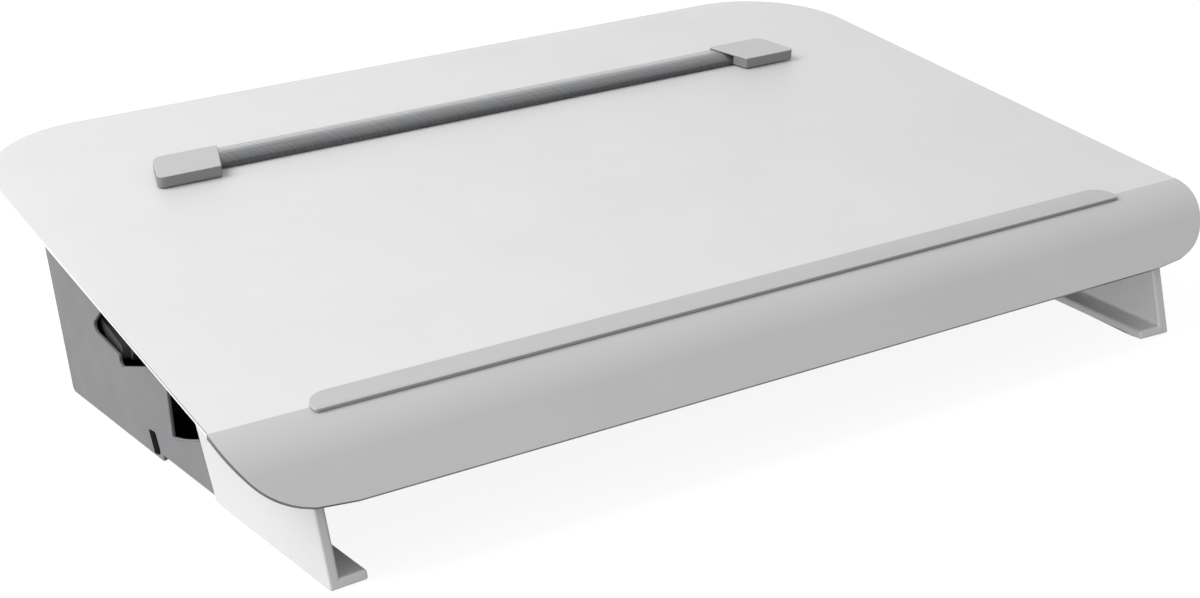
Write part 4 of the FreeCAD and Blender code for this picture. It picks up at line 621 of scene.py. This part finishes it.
# %% Camera
RIGHT = Vector((0.8576, -0.5118, -0.0505))
DOWN = Vector((-0.2203, -0.2768, -0.9354))
AHEAD = Vector((0.4648, 0.8133, -0.3501))
CAMERA_PLACE = Vector((-0.49301, -0.73905 + SHIFT_Y * MM, 0.39305))
SENSOR_MM = 36.0
FOCAL_PX, VIEW_PX = 2121.09, 1200       # the focal length and the view's width, both in pixels

lens = bpy.data.cameras.new("camera")
lens.sensor_width, lens.lens = SENSOR_MM, FOCAL_PX / VIEW_PX * SENSOR_MM
lens.clip_start, lens.clip_end = 0.01, 20.0
camera = bpy.data.objects.new("camera", lens)
turn = Matrix((RIGHT, -DOWN, -AHEAD)).transposed()
camera.matrix_world = Matrix.Translation(CAMERA_PLACE) @ turn.to_quaternion().to_matrix().to_4x4()
bpy.context.scene.collection.objects.link(camera)
bpy.context.scene.camera = camera
print("focal length, mm:", round(lens.lens, 2))

# %% [markdown]
# **The studio** is a white sweep under one large soft lamp. The lamp stands to the left and a
# little behind, so the board and the left side are fully lit and every face that looks forward
# falls to about half of that. A weak lamp low at the left front reaches in under the deck. The
# sweep is dull to the light but shines for the camera, for gloss and for glass, so it stays white
# and still takes the shadow.

# %% Floor, world and lamp
FLOOR_GREY, FLOOR_GLOW, SKY_LEVEL = 0.22, 0.9, 0.55
FLOOR_HALF = 6                              # metres
STAND_MIDDLE = Vector((0, 0, 0.05))


def seen_directly(tree):
    """1 for rays from the camera or off something glossy or clear, otherwise 0."""
    rays = add(tree, "ShaderNodeLightPath")
    camera_ray, glossy_ray, clear_ray = (rays.outputs[f"Is {kind} Ray"]
                                         for kind in ("Camera", "Glossy", "Transmission"))
    first = add(tree, "ShaderNodeMath", {0: camera_ray, 1: glossy_ray}, operation="MAXIMUM")
    both = add(tree, "ShaderNodeMath", {0: first.outputs["Value"], 1: clear_ray}, operation="MAXIMUM")
    return both.outputs["Value"]


sweep, tree, shader, place = finish("white_sweep", 1.0)
shader.inputs["Base Color"].default_value = (FLOOR_GREY, FLOOR_GREY, FLOOR_GREY, 1)
shader.inputs["Specular IOR Level"].default_value = 0.0
shader.inputs["Emission Color"].default_value = (1, 1, 1, 1)
glow = add(tree, "ShaderNodeMath", {0: seen_directly(tree)}, operation="MULTIPLY", _1=FLOOR_GLOW)
tree.links.new(glow.outputs["Value"], shader.inputs["Emission Strength"])
floor_mesh = bpy.data.meshes.new("floor")
floor_corners = [(x * FLOOR_HALF, y * FLOOR_HALF, 0) for x, y in ((-1, -1), (1, -1), (1, 1), (-1, 1))]
floor_mesh.from_pydata(floor_corners, [], [(0, 1, 2, 3)])
link(floor_mesh, "floor", sweep)

world = bpy.data.worlds.new("studio")
bpy.context.scene.world = world
world.use_nodes = True
sky = world.node_tree
background = sky.nodes["Background"]
level = add(sky, "ShaderNodeMapRange", {"Value": seen_directly(sky)}, _To_Min=SKY_LEVEL, _To_Max=1.0)
sky.links.new(level.outputs["Result"], background.inputs["Strength"])
background.inputs["Color"].default_value = (1, 1, 1, 1)


def lamp(name, place, power, size):
    """Square area lamp aimed at the middle of the stand."""
    light = bpy.data.lights.new(name, "AREA")
    light.energy, light.size = power, size
    obj = bpy.data.objects.new(name, light)
    obj.location = place
    obj.rotation_euler = (STAND_MIDDLE - Vector(place)).to_track_quat("-Z", "Y").to_euler()
    bpy.context.scene.collection.objects.link(obj)


lamp("key", (-1.7, 0.35, 2.1), power=41.0, size=1.6)
lamp("fill", (-2.5, -0.85, 0.16), power=21.0, size=0.3)
bpy.context.scene.view_settings.view_transform = "Standard"
print("sky", SKY_LEVEL, "and two lamps")
